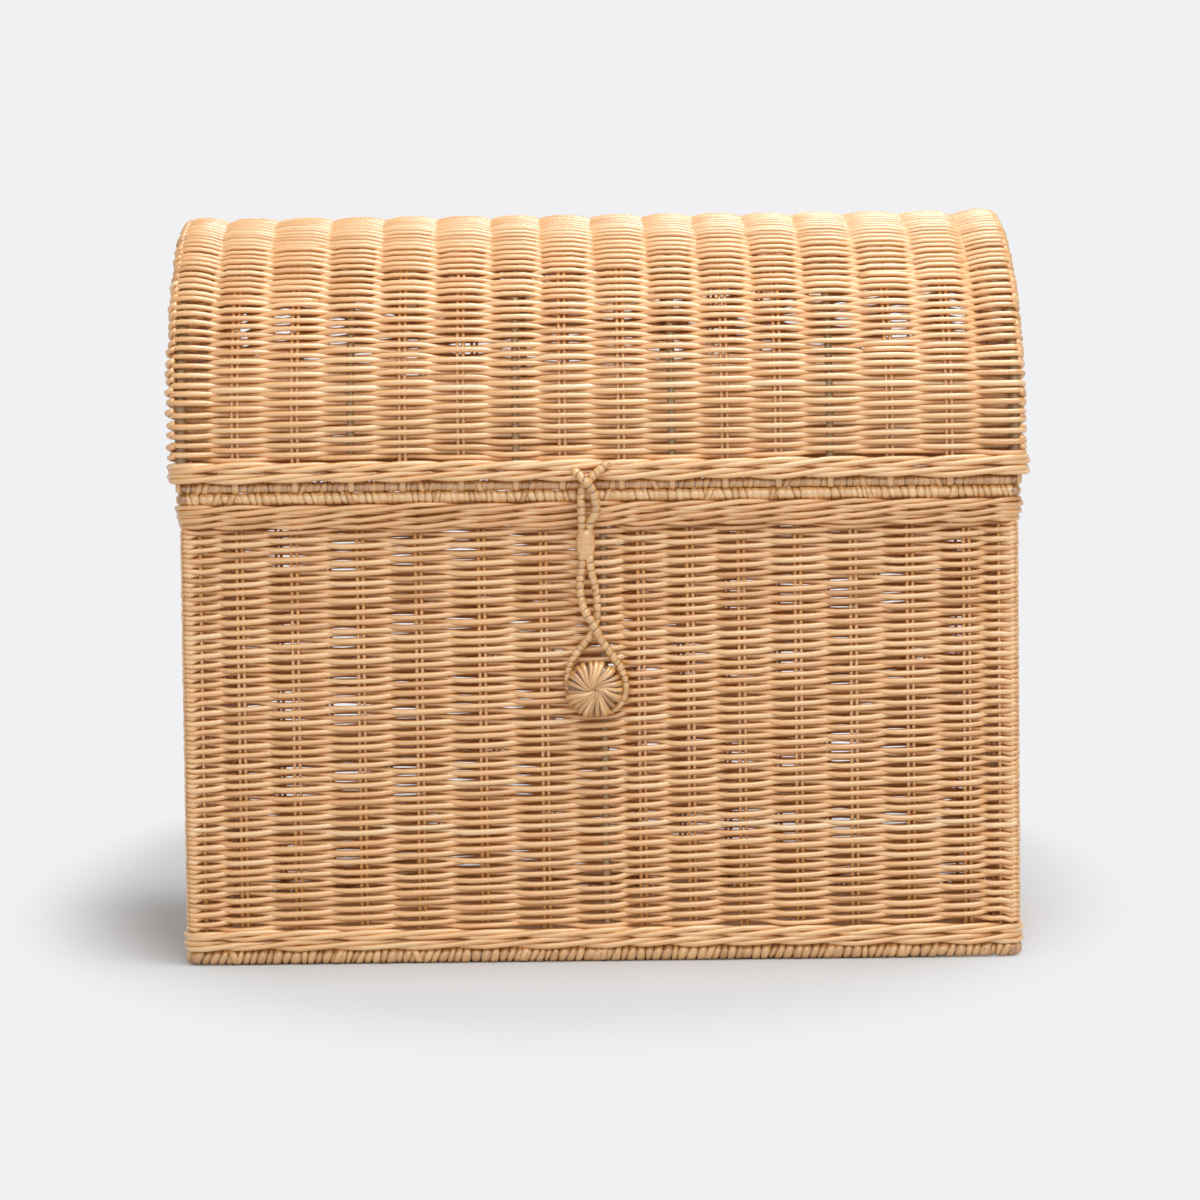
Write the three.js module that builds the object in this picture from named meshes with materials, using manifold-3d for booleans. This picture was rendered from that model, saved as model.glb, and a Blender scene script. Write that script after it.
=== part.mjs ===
// A woven trunk-shaped box: a chest with plain-woven walls on corner posts, a barrel-domed lid hung on two bound
// hinges, and a looped closure that drops over a round wrapped button. Lengths are in millimetres, +Z is up, the
// front faces -Y and the origin is at the middle of the underside.

import * as THREE from 'three';
import { mergeVertices } from 'three/addons/utils/BufferGeometryUtils.js';
import Module from 'manifold-3d';

const wasm = await Module();
wasm.setup();

// Strands and fits
const weaverDiameter = 2.4;
const stakeDiameter = 2;
const seatGap = 0.3;
const cutOverrun = 2;

// Chest
const chestWidth = 418.5;
const chestDepth = 250;
const baseRailDiameter = 7;
const baseRailFlat = 0.5;
const baseLift = 1;
const basePanelGap = 0.7;
const baseWaleRowHeight = 5.1;
const baseWaleReach = 0.9;
const wallHeight = 201.4;
const upperWaleRowHeight = 3.7;
const upperWaleReach = 2.4;
const rimRailDiameter = 5.8;
const rimRailOffset = 2.15;
const cornerPostDiameter = 4;
const wallPoleDiameter = 4;
const wallPoleInset = 1.2;
const cornerRadius = 5;
const waleLobeDepth = 1.1;

// Lid
const lidOverhang = 4;
const lidRailDiameter = 4.8;
const lidWaleRowHeight = 5;
const lidWaleReach = 2.1;
const lidSideHeight = 12.6;
const domeRise = 114;
const endArchDiameter = 6;
const domePoleDiameter = 4;

// Hinges
const hingeLoopWidth = 13;
const hingeLoopThickness = 1.1;
const hingeSpacing = 190;
const hingeLimit = THREE.MathUtils.degToRad(100);

// Button and closure
const buttonDiameter = 28.6;
const buttonThickness = 8;
const buttonStandoff = 4.1;
const buttonSide = -3.5;
const buttonHeight = 137;
const buttonDimple = 1.6;
const buttonGroove = 0.5;
const shankDiameter = 4;
const shankKnotDiameter = 10;
const shankKnotThickness = 2;
const cordDiameter = 3.2;
const keeperSide = -6.8;
const keeperStandoff = 5.4;
const keeperDrop = 9.8;
const keeperWidth = 9.6;
const keeperLength = 14.5;
const keeperBore = 8;
const keeperSpread = 1.85;

// Counts
const baseWaleRows = 2;
const upperWaleRows = 3;
const lidWaleRows = 2;
const buttonWraps = 26;
const archSteps = 14;
const cornerSteps = 3;
const foldSteps = 3;
const postFoldSteps = 4;
const weaveSteps = 4;
const domeWeaveSteps = 3;
const domeInnerSteps = 2;
const rodSides = 8;
const poleSides = 6;
const cordSteps = 60;
const cordSamplesPerPoint = 12;
const cordNeighbourSpan = 3;

// Where the stakes stand, as shares of half the run between two corner posts
const chestStakeShares = [
  -0.877, -0.744, -0.584, -0.442, -0.288, -0.137, 0.009, 0.1, 0.22, 0.345, 0.483, 0.618, 0.756, 0.894,
];
const chestPoleShare = 0.009;
const lidStakeShares = [
  -0.87, -0.727, -0.593, -0.469, -0.329, -0.198, -0.086, 0.055, 0.176, 0.303, 0.431, 0.555, 0.698, 0.841,
];
const lidPoleShares = [-0.593, -0.198, 0.176, 0.555];
const sideStakeShares = [-0.778, -0.556, -0.333, -0.111, 0.111, 0.333, 0.556, 0.778];
const buttonProfileShares = [
  [0, 0],
  [0.86, 0],
  [1, 0.32],
  [0.97, 0.62],
  [0.8, 0.9],
  [0.5, 1],
  [0.2, 0.96],
];
const waleLobeShares = [0.33, 0.67];
const squashShare = 0.62;
const keeperEndShare = 0.9;
const keeperWaistShare = 0.34;

// What the weave's strands make of a wall: it swells over each stake and thins where the weavers cross between two
const crown = stakeDiameter / 2 + weaverDiameter;
const valley = weaverDiameter / 2;
const foldRadius = cornerPostDiameter / 2 + weaverDiameter;
const archFoldRadius = endArchDiameter / 2 + weaverDiameter;

// Heights, each piece standing on the one below it
const baseRailHeight = baseRailDiameter - baseRailFlat;
const baseWaleFoot = baseRailHeight + seatGap;
const baseWaleTop = baseWaleFoot + baseWaleRows * baseWaleRowHeight;
const wallFoot = baseWaleTop + seatGap;
const wallTop = wallFoot + wallHeight;
const upperWaleFoot = wallTop + seatGap;
const upperWaleTop = upperWaleFoot + upperWaleRows * upperWaleRowHeight;
const rimRailHeight = upperWaleTop + seatGap + rimRailDiameter / 2;
const lidRailHeight = rimRailHeight + rimRailDiameter / 2 + seatGap + lidRailDiameter / 2;
const lidWaleFoot = lidRailHeight + lidRailDiameter / 2 + seatGap;
const lidWaleTop = lidWaleFoot + lidWaleRows * lidWaleRowHeight;
const domeFoot = lidWaleTop + seatGap;
const springHeight = domeFoot + lidSideHeight;

const lidWidth = chestWidth + lidOverhang * 2;
const lidDepth = chestDepth + lidOverhang * 2;

// Lines that the stakes, posts and rails stand on, as half widths and half depths
const chestLine = { width: chestWidth / 2 - crown, depth: chestDepth / 2 - crown };
const chestPosts = { width: chestWidth / 2 - foldRadius, depth: chestDepth / 2 - foldRadius };
const lidLine = { width: lidWidth / 2 - crown, depth: lidDepth / 2 - crown };
const lidArchSide = lidWidth / 2 - archFoldRadius;
const rimLine = { width: chestLine.width + rimRailOffset, depth: chestLine.depth + rimRailOffset };
const domeRiseToStakes = domeRise - crown;
const postInset = foldRadius - crown;
const archInset = archFoldRadius - crown;

// Materials
const materials = {
  core: new THREE.MeshStandardMaterial({ color: 0xd9ab72, roughness: 0.55, metalness: 0 }),
  peel: new THREE.MeshStandardMaterial({ color: 0xcfa267, roughness: 0.45, metalness: 0 }),
  pole: new THREE.MeshStandardMaterial({ color: 0x9c7a4a, roughness: 0.6, metalness: 0 }),
};

function named(name, geometry, material) {
  const mesh = new THREE.Mesh(geometry, material);
  mesh.name = name;
  return mesh;
}

// Closed solids and cuts

function merged(geometry) {
  const bare = geometry.clone();
  bare.deleteAttribute('normal');
  bare.deleteAttribute('uv');
  return mergeVertices(bare);
}

function solidOf(geometry) {
  const bare = merged(geometry);
  const vertProperties = new Float32Array(bare.attributes.position.array);
  const triVerts = new Uint32Array(bare.index.array);
  return new wasm.Manifold(new wasm.Mesh({ numProp: 3, vertProperties, triVerts }));
}

function geometryOf(solid) {
  const mesh = solid.getMesh();
  const geometry = new THREE.BufferGeometry();
  geometry.setAttribute('position', new THREE.BufferAttribute(new Float32Array(mesh.vertProperties), 3));
  geometry.setIndex(new THREE.BufferAttribute(new Uint32Array(mesh.triVerts), 1));
  geometry.computeVertexNormals();
  return geometry;
}

function carved(geometry, cutters) {
  let solid = solidOf(geometry);
  for (const cutter of cutters) {
    solid = solid.subtract(solidOf(cutter));
  }
  return geometryOf(solid);
}

function common(first, second) {
  return geometryOf(solidOf(first).intersect(solidOf(second)));
}

// A solid swept from one flat section through a row of frames, closed into a ring or capped at both ends
function sweep(outline, frames, closed) {
  const section = THREE.ShapeUtils.isClockWise(outline) ? outline.slice().reverse() : outline;
  const count = section.length;
  const positions = [];
  for (const frame of frames) {
    for (const point of section) {
      const place = frame.origin.clone();
      place.addScaledVector(frame.across, point.x);
      place.addScaledVector(frame.out, point.y);
      positions.push(place.x, place.y, place.z);
    }
  }
  const indices = [];
  const spans = closed ? frames.length : frames.length - 1;
  for (let span = 0; span < spans; span += 1) {
    const here = span * count;
    const there = ((span + 1) % frames.length) * count;
    for (let k = 0; k < count; k += 1) {
      const next = (k + 1) % count;
      indices.push(here + k, here + next, there + next);
      indices.push(here + k, there + next, there + k);
    }
  }
  if (!closed) {
    const last = (frames.length - 1) * count;
    for (const [a, b, c] of THREE.ShapeUtils.triangulateShape(section, [])) {
      indices.push(c, b, a);
      indices.push(last + a, last + b, last + c);
    }
  }
  const geometry = new THREE.BufferGeometry();
  geometry.setAttribute('position', new THREE.Float32BufferAttribute(positions, 3));
  geometry.setIndex(indices);
  return facingOut(geometry);
}

function facingOut(geometry) {
  const places = geometry.attributes.position;
  const order = geometry.index.array;
  const corners = [new THREE.Vector3(), new THREE.Vector3(), new THREE.Vector3()];
  let volume = 0;
  for (let k = 0; k < order.length; k += 3) {
    corners.forEach((corner, c) => corner.fromBufferAttribute(places, order[k + c]));
    volume += corners[0].dot(corners[1].cross(corners[2]));
  }
  if (volume < 0) {
    geometry.setIndex(Array.from(order).reverse());
  }
  geometry.computeVertexNormals();
  return geometry;
}

// Sections

function roundSection(radius, sides, centre) {
  const points = [];
  for (let k = 0; k < sides; k += 1) {
    const angle = (2 * Math.PI * (k + 0.5)) / sides;
    points.push(new THREE.Vector2(centre.x + radius * Math.cos(angle), centre.y + radius * Math.sin(angle)));
  }
  return points;
}

// How far the weave stands from the stakes' line along a bay, from one stake to the next
function swell(share) {
  return valley + (crown - valley) * Math.abs(Math.cos(Math.PI * share));
}

function weaveEdge(stations, steps) {
  const points = [];
  for (let bay = 0; bay + 1 < stations.length; bay += 1) {
    for (let step = 0; step < steps; step += 1) {
      const share = step / steps;
      const along = THREE.MathUtils.lerp(stations[bay], stations[bay + 1], share);
      points.push(new THREE.Vector2(along, swell(share)));
    }
  }
  points.push(new THREE.Vector2(stations[stations.length - 1], crown));
  return points;
}

function arcPoints(centre, radius, from, to, steps) {
  const points = [];
  for (let k = 0; k <= steps; k += 1) {
    const angle = THREE.MathUtils.lerp(from, to, k / steps);
    points.push(new THREE.Vector2(centre.x + radius * Math.cos(angle), centre.y + radius * Math.sin(angle)));
  }
  return points;
}

// A woven panel's section: swelling over its stakes on both faces, its outer face folded round a post at each end
function foldedSection(stations, half, inset, fold, postRadius, outerSteps, innerSteps) {
  const right = new THREE.Vector2(half, -inset);
  const left = new THREE.Vector2(-half, -inset);
  const hollow = postRadius + seatGap;
  const outer = weaveEdge([-half, ...stations, half], outerSteps).slice(1, -1);
  const inner = weaveEdge([-half + hollow, ...stations, half - hollow], innerSteps).slice(1, -1);
  return [
    ...inner.map((point) => new THREE.Vector2(point.x, -point.y)),
    ...arcPoints(right, hollow, Math.PI, 0, postFoldSteps),
    ...arcPoints(right, fold, 0, Math.PI / 2, foldSteps),
    ...outer.reverse(),
    ...arcPoints(left, fold, Math.PI / 2, Math.PI, foldSteps),
    ...arcPoints(left, hollow, Math.PI, 0, postFoldSteps),
  ];
}

// A woven panel's section with square ends
function plainSection(stations, half) {
  const edge = weaveEdge([-half, ...stations, half], weaveSteps);
  const outer = edge.slice().reverse();
  return [...edge.map((point) => new THREE.Vector2(point.x, -point.y)), ...outer];
}

// A wale's section: rows of thick strands side by side, each a low bulge on both faces
function waleSection(rows, rowHeight, foot, innerReach, outerReach) {
  const points = [];
  for (let row = 0; row < rows; row += 1) {
    const low = foot + row * rowHeight;
    points.push(new THREE.Vector2(outerReach - waleLobeDepth, low));
    for (const share of waleLobeShares) {
      points.push(new THREE.Vector2(outerReach, low + rowHeight * share));
    }
  }
  const top = foot + rows * rowHeight;
  points.push(new THREE.Vector2(outerReach - waleLobeDepth, top));
  points.push(new THREE.Vector2(waleLobeDepth - innerReach, top));
  for (let row = rows - 1; row >= 0; row -= 1) {
    const low = foot + row * rowHeight;
    points.push(new THREE.Vector2(-innerReach, low + rowHeight / 2));
    points.push(new THREE.Vector2(waleLobeDepth - innerReach, low));
  }
  return points;
}

// Paths

// Frames round a rectangle with rounded corners; a section's x runs outwards and its y runs up
function ringFrames(line) {
  const frames = [];
  const up = new THREE.Vector3(0, 0, 1);
  for (let corner = 0; corner < 4; corner += 1) {
    const middle = (corner + 0.5) * (Math.PI / 2);
    const centre = new THREE.Vector3(
      Math.sign(Math.cos(middle)) * (line.width - cornerRadius),
      Math.sign(Math.sin(middle)) * (line.depth - cornerRadius),
      0,
    );
    for (let k = 0; k <= cornerSteps; k += 1) {
      const angle = (corner + k / cornerSteps) * (Math.PI / 2);
      const across = new THREE.Vector3(Math.cos(angle), Math.sin(angle), 0);
      frames.push({ origin: centre.clone().addScaledVector(across, cornerRadius), across, out: up });
    }
  }
  return frames;
}

// Frames over the lid from its front foot to its rear foot; a section's x runs along X and its y runs outwards
function archFrames(foot) {
  const across = new THREE.Vector3(1, 0, 0);
  const frames = [];
  frames.push({
    origin: new THREE.Vector3(0, -lidLine.depth, foot),
    across,
    out: new THREE.Vector3(0, -1, 0),
  });
  for (let k = 0; k <= archSteps; k += 1) {
    const angle = (Math.PI * k) / archSteps;
    const cos = Math.cos(angle);
    const sin = Math.sin(angle);
    frames.push({
      origin: new THREE.Vector3(0, -lidLine.depth * cos, springHeight + domeRiseToStakes * sin),
      across,
      out: new THREE.Vector3(0, -domeRiseToStakes * cos, lidLine.depth * sin).normalize(),
    });
  }
  frames.push({
    origin: new THREE.Vector3(0, lidLine.depth, foot),
    across,
    out: new THREE.Vector3(0, 1, 0),
  });
  return frames;
}

// The arch's outline moved inwards, as a solid that spans the lid from end to end
function archBlock(inset, foot) {
  const section = archFrames(foot).map((frame) => {
    const place = frame.origin.clone().addScaledVector(frame.out, -inset);
    return new THREE.Vector2(place.y, place.z);
  });
  const span = lidWidth + cutOverrun;
  const frames = [-span / 2, span / 2].map((side) => ({
    origin: new THREE.Vector3(side, 0, 0),
    across: new THREE.Vector3(0, 1, 0),
    out: new THREE.Vector3(0, 0, 1),
  }));
  return sweep(section, frames, false);
}

function rod(radius, sides, x, y, foot, top) {
  const geometry = new THREE.CylinderGeometry(radius, radius, top - foot, sides);
  geometry.rotateX(Math.PI / 2);
  geometry.translate(x, y, (foot + top) / 2);
  return geometry;
}

function block(low, high) {
  const size = high.clone().sub(low);
  const geometry = new THREE.BoxGeometry(size.x, size.y, size.z);
  geometry.translate((low.x + high.x) / 2, (low.y + high.y) / 2, (low.z + high.z) / 2);
  return geometry;
}

// Rods that other pieces are cut to fit

const corners = [
  ['front_left', -1, -1],
  ['front_right', 1, -1],
  ['rear_left', -1, 1],
  ['rear_right', 1, 1],
];

function cornerPost(sideX, sideY, growth, overrun) {
  return rod(
    cornerPostDiameter / 2 + growth,
    rodSides,
    sideX * chestPosts.width,
    sideY * chestPosts.depth,
    baseWaleFoot - overrun,
    upperWaleTop + overrun,
  );
}

function wallPole(sideY, growth, overrun) {
  return rod(
    wallPoleDiameter / 2 + growth,
    poleSides,
    chestPoleShare * chestPosts.width,
    sideY * (chestLine.depth - wallPoleInset),
    baseWaleFoot - overrun,
    upperWaleTop + overrun,
  );
}

function endArch(sideX, growth, overrun) {
  const centre = new THREE.Vector2(sideX * lidArchSide, -archInset);
  return sweep(
    roundSection(endArchDiameter / 2 + growth, rodSides, centre),
    archFrames(lidWaleFoot - overrun),
    false,
  );
}

function domePole(share, growth, overrun) {
  const centre = new THREE.Vector2(share * lidArchSide, -wallPoleInset);
  return sweep(
    roundSection(domePoleDiameter / 2 + growth, poleSides, centre),
    archFrames(lidWaleFoot - overrun),
    false,
  );
}

// Chest pieces

function upright(section, foot, top, turn, offset) {
  const geometry = new THREE.ExtrudeGeometry(new THREE.Shape(section), {
    depth: top - foot,
    bevelEnabled: false,
  });
  geometry.translate(0, offset, foot);
  geometry.rotateZ(turn);
  return geometry;
}

function baseRail() {
  const radius = baseRailDiameter / 2;
  const centre = new THREE.Vector2(0, radius - baseRailFlat);
  const flatAngle = Math.asin((radius - baseRailFlat) / radius);
  const section = arcPoints(centre, radius, -flatAngle, Math.PI + flatAngle, rodSides + 1);
  return sweep(section, ringFrames(chestLine), true);
}

function basePanel() {
  const halfWidth = chestLine.width - baseRailDiameter / 2 - basePanelGap;
  const depth = chestLine.depth * 2 - baseRailDiameter - basePanelGap * 2;
  const stations = chestStakeShares.map((share) => share * chestPosts.width);
  const shape = new THREE.Shape(plainSection(stations, halfWidth));
  const geometry = new THREE.ExtrudeGeometry(shape, { depth, bevelEnabled: false });
  geometry.rotateX(Math.PI / 2);
  geometry.translate(0, depth / 2, baseLift + crown);
  return carved(geometry, corners.map(([, x, y]) => cornerPost(x, y, seatGap, 0)));
}

function ringRail(diameter, height) {
  return sweep(
    roundSection(diameter / 2, rodSides, new THREE.Vector2(0, height)),
    ringFrames(rimLine),
    true,
  );
}

function chestWale(rows, rowHeight, foot, reach) {
  return sweep(waleSection(rows, rowHeight, foot, crown, crown + reach), ringFrames(chestLine), true);
}

function chestRodCutters() {
  const posts = corners.map(([, x, y]) => cornerPost(x, y, seatGap, cutOverrun));
  return [...posts, wallPole(-1, seatGap, cutOverrun), wallPole(1, seatGap, cutOverrun)];
}

function longWall(sideY, cutters) {
  const stations = chestStakeShares.map((share) => share * chestPosts.width);
  const facing = sideY > 0 ? stations : stations.map((place) => -place).reverse();
  const half = chestPosts.width;
  const fold = [postInset, foldRadius, cornerPostDiameter / 2];
  const section = foldedSection(facing, half, ...fold, weaveSteps, weaveSteps);
  const panel = upright(section, wallFoot, wallTop, sideY > 0 ? 0 : Math.PI, chestLine.depth);
  return carved(panel, [wallPole(sideY, seatGap, cutOverrun), ...cutters]);
}

function sideWall(sideX) {
  const half = chestPosts.depth - seatGap;
  const stations = sideStakeShares.map((share) => share * chestPosts.depth);
  const turn = (-sideX * Math.PI) / 2;
  const panel = upright(plainSection(stations, half), wallFoot, wallTop, turn, chestLine.width);
  const posts = corners.filter(([, x]) => x === sideX);
  return carved(panel, posts.map(([, x, y]) => cornerPost(x, y, seatGap, cutOverrun)));
}

// Lid pieces

function domePanel() {
  const stations = lidStakeShares.map((share) => share * lidArchSide);
  const fold = [archInset, archFoldRadius, endArchDiameter / 2];
  const section = foldedSection(stations, lidArchSide, ...fold, domeWeaveSteps, domeInnerSteps);
  const panel = sweep(section, archFrames(domeFoot), false);
  return carved(panel, lidPoleShares.map((share) => domePole(share, seatGap, cutOverrun)));
}

function lidEnd(sideX) {
  const stations = sideStakeShares.map((share) => share * lidLine.depth);
  const section = plainSection(stations, lidLine.depth);
  const top = springHeight + domeRise;
  const panel = upright(section, domeFoot, top, (-sideX * Math.PI) / 2, lidWidth / 2 - crown);
  const shaped = common(panel, archBlock(archInset + seatGap, domeFoot - cutOverrun));
  return carved(shaped, [endArch(sideX, seatGap, cutOverrun)]);
}

function lidWale(cutters) {
  const section = waleSection(lidWaleRows, lidWaleRowHeight, lidWaleFoot, crown, crown + lidWaleReach);
  return carved(sweep(section, ringFrames(lidLine), true), cutters);
}

// Hinge loops: bands bound round the rear of both rails, which turn about the chest's rail

const loopInner = rimRailDiameter / 2 + seatGap;
const loopOuter = loopInner + hingeLoopThickness;
const railSpacing = lidRailHeight - rimRailHeight;
const loopDrop = railSpacing * Math.max(0, -Math.cos(hingeLimit)) + loopOuter + seatGap;

function roundedSlot(outline, radius) {
  outline.absarc(0, 0, radius, Math.PI, 2 * Math.PI, false);
  outline.absarc(0, railSpacing, radius, 0, Math.PI, false);
  outline.closePath();
  return outline;
}

function hingeLoop(side) {
  const shape = roundedSlot(new THREE.Shape(), loopOuter);
  shape.holes.push(roundedSlot(new THREE.Path(), loopInner));
  const geometry = new THREE.ExtrudeGeometry(shape, {
    depth: hingeLoopWidth,
    bevelEnabled: false,
    curveSegments: rodSides,
  });
  geometry.rotateX(Math.PI / 2);
  geometry.rotateZ(Math.PI / 2);
  geometry.translate(side - hingeLoopWidth / 2, rimLine.depth, rimRailHeight);
  return geometry;
}

const notchReach = crown * 2 + lidOverhang + upperWaleReach + lidWaleReach;

function hingeNotch(side, foot, top) {
  const reach = hingeLoopWidth / 2 + seatGap;
  return block(
    new THREE.Vector3(side - reach, rimLine.depth - notchReach, foot),
    new THREE.Vector3(side + reach, rimLine.depth + notchReach, top),
  );
}

const hingeSides = [-hingeSpacing / 2, hingeSpacing / 2];

function hingeNotches(foot, top) {
  return hingeSides.map((side) => hingeNotch(side, foot, top));
}

// Button: a round core wrapped all round with peel, tied through the front wall

const buttonBack = -(chestDepth / 2 + buttonStandoff);

function buttonHead() {
  const radius = buttonDiameter / 2;
  const profile = buttonProfileShares.map(([out, up]) => new THREE.Vector2(out * radius, up * buttonThickness));
  profile.push(new THREE.Vector2(0, buttonThickness - buttonDimple));
  const geometry = new THREE.LatheGeometry(profile, buttonWraps * 2);
  const places = geometry.attributes.position;
  const core = new THREE.Vector3(0, buttonThickness / 2, 0);
  const place = new THREE.Vector3();
  for (let turn = 1; turn < buttonWraps * 2; turn += 2) {
    for (let k = 1; k + 1 < profile.length; k += 1) {
      const index = turn * profile.length + k;
      place.fromBufferAttribute(places, index);
      place.addScaledVector(core.clone().sub(place).normalize(), buttonGroove);
      places.setXYZ(index, place.x, place.y, place.z);
    }
  }
  geometry.rotateX(Math.PI);
  geometry.translate(buttonSide, buttonBack, buttonHeight);
  return facingOut(merged(geometry));
}

function buttonShank() {
  const knotFace = -(chestLine.depth - crown) + seatGap;
  const profile = [
    new THREE.Vector2(0, buttonBack + seatGap),
    new THREE.Vector2(shankDiameter / 2, buttonBack + seatGap),
    new THREE.Vector2(shankDiameter / 2, knotFace),
    new THREE.Vector2(shankKnotDiameter / 2, knotFace),
    new THREE.Vector2(shankKnotDiameter / 2, knotFace + shankKnotThickness),
    new THREE.Vector2(0, knotFace + shankKnotThickness),
  ];
  const geometry = new THREE.LatheGeometry(profile, rodSides);
  geometry.translate(buttonSide, 0, buttonHeight);
  return facingOut(merged(geometry));
}

function shankHole() {
  const geometry = new THREE.CylinderGeometry(
    shankDiameter / 2 + seatGap,
    shankDiameter / 2 + seatGap,
    (crown + cutOverrun) * 2,
    rodSides,
  );
  geometry.translate(buttonSide, -chestLine.depth, buttonHeight);
  return geometry;
}

// Closure: one cord from the lid's wale, through a keeper, round behind the button and back. Each point is measured
// across from the keeper's middle, out from the front wall's face, and up from the keeper's middle.

const keeperHeight = upperWaleFoot - keeperDrop;
const cordRoute = [
  [11.2, 7.8, 40.8],
  [8.4, 8.4, 38],
  [4.6, 8.3, 34.6],
  [1, 8, 31],
  [-1.5, 7.7, 26.8],
  [-2, 7.5, 20.8],
  [-1.9, 7.3, 14.8],
  [-1.8, 6.9, 11.4],
  [-keeperSpread, keeperStandoff, 7.6],
  [-keeperSpread, keeperStandoff, 0],
  [-keeperSpread, keeperStandoff, -7.6],
  [-2.1, 5.2, -11.7],
  [-3, 4.7, -18.2],
  [-2.8, 5.6, -25.2],
  [-1.2, 6.4, -32.2],
  [2.6, 6.7, -38.6],
  [7.6, 5.8, -48.2],
  [12.3, 4.2, -55.2],
  [16.6, 2.8, -62.2],
  [18.9, 2, -69.7],
  [18, 2, -76.7],
  [13.3, 2, -82.2],
  [5.3, 2, -84.3],
  [-2.7, 2, -82],
  [-8, 2, -75.7],
  [-9.6, 2, -67.7],
  [-8.4, 2, -60.2],
  [-4.7, 2, -53.7],
  [-0.4, 2, -48.4],
  [3.2, 2, -43.2],
  [4.8, 2.3, -37.7],
  [5.4, 2.8, -31.2],
  [4.8, 3.4, -23.2],
  [3.2, 4.6, -16.2],
  [2.3, 5.2, -11.7],
  [keeperSpread, keeperStandoff, -7.6],
  [keeperSpread, keeperStandoff, 0],
  [keeperSpread, keeperStandoff, 7.6],
  [2.5, 6.9, 11.4],
  [4.6, 7.3, 14.8],
  [5.2, 8.4, 20.8],
  [3.6, 10.6, 26.8],
  [0.4, 11.9, 31.2],
  [-2.8, 11.2, 34.4],
  [-5.4, 8.2, 36.8],
];

// The loop's middle in the route above, across and up. The loop goes with the button from there, and the two strands
// between it and the keeper stretch.
const routeMiddle = [3.3, -72.2];
const loopTop = routeMiddle[1] + buttonDiameter / 2 + cordDiameter;
const keeperFoot = -keeperLength / 2;

function routePoint([across, out, up]) {
  const share = THREE.MathUtils.clamp((keeperFoot - up) / (keeperFoot - loopTop), 0, 1);
  const shift = share * (buttonSide - keeperSide - routeMiddle[0]);
  const rise = share * (buttonHeight - keeperHeight - routeMiddle[1]);
  return new THREE.Vector3(keeperSide + across + shift, -(chestDepth / 2 + out), keeperHeight + up + rise);
}

function closureCurve() {
  return new THREE.CatmullRomCurve3(cordRoute.map(routePoint), false, 'centripetal');
}

function closureCord() {
  const shape = new THREE.Shape(roundSection(cordDiameter / 2, rodSides, new THREE.Vector2()));
  return new THREE.ExtrudeGeometry(shape, {
    steps: cordSteps,
    bevelEnabled: false,
    extrudePath: closureCurve(),
  });
}

function cordKeeper() {
  const bore = keeperBore / 2;
  const end = (keeperWidth / 2) * keeperEndShare;
  const waist = keeperLength * keeperWaistShare;
  const profile = [
    new THREE.Vector2(bore, -keeperLength / 2),
    new THREE.Vector2(end, -keeperLength / 2),
    new THREE.Vector2(keeperWidth / 2, -waist / 2),
    new THREE.Vector2(keeperWidth / 2, waist / 2),
    new THREE.Vector2(end, keeperLength / 2),
    new THREE.Vector2(bore, keeperLength / 2),
    new THREE.Vector2(bore, -keeperLength / 2),
  ];
  const geometry = new THREE.LatheGeometry(profile, rodSides * 2);
  geometry.rotateX(Math.PI / 2);
  geometry.scale(1, squashShare, 1);
  geometry.translate(keeperSide, -(chestDepth / 2 + keeperStandoff), keeperHeight);
  return facingOut(merged(geometry));
}

// The least gap between two stretches of the cord that aren't neighbours along it
function leastCordGap() {
  const count = cordRoute.length * cordSamplesPerPoint;
  const points = closureCurve().getSpacedPoints(count);
  const skip = Math.ceil((cordDiameter * cordNeighbourSpan * count) / closureCurve().getLength());
  let least = Infinity;
  for (let a = 0; a < points.length; a += 1) {
    for (let b = a + skip; b < points.length; b += 1) {
      least = Math.min(least, points[a].distanceTo(points[b]));
    }
  }
  return least - cordDiameter;
}

// Assembly

const chest = new THREE.Group();
const rodCutters = chestRodCutters();
const chestNotches = hingeNotches(rimRailHeight - loopDrop, upperWaleTop + cutOverrun);
const baseWale = chestWale(baseWaleRows, baseWaleRowHeight, baseWaleFoot, baseWaleReach);
const upperWale = chestWale(upperWaleRows, upperWaleRowHeight, upperWaleFoot, upperWaleReach);
chest.add(named('base_rail', baseRail(), materials.peel));
chest.add(named('base_panel', basePanel(), materials.core));
chest.add(named('base_wale', carved(baseWale, rodCutters), materials.core));
chest.add(named('front_wall', longWall(-1, [shankHole()]), materials.core));
chest.add(named('rear_wall', longWall(1, []), materials.core));
chest.add(named('left_wall', sideWall(-1), materials.core));
chest.add(named('right_wall', sideWall(1), materials.core));
for (const [place, sideX, sideY] of corners) {
  chest.add(named(`corner_post_${place}`, cornerPost(sideX, sideY, 0, 0), materials.pole));
}
chest.add(named('front_pole', wallPole(-1, 0, 0), materials.pole));
chest.add(named('rear_pole', wallPole(1, 0, 0), materials.pole));
chest.add(named('upper_wale', carved(upperWale, [...rodCutters, ...chestNotches]), materials.core));
chest.add(named('chest_rim_rail', ringRail(rimRailDiameter, rimRailHeight), materials.peel));
chest.add(named('button_shank', buttonShank(), materials.peel));
chest.add(named('button_head', buttonHead(), materials.peel));

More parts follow.
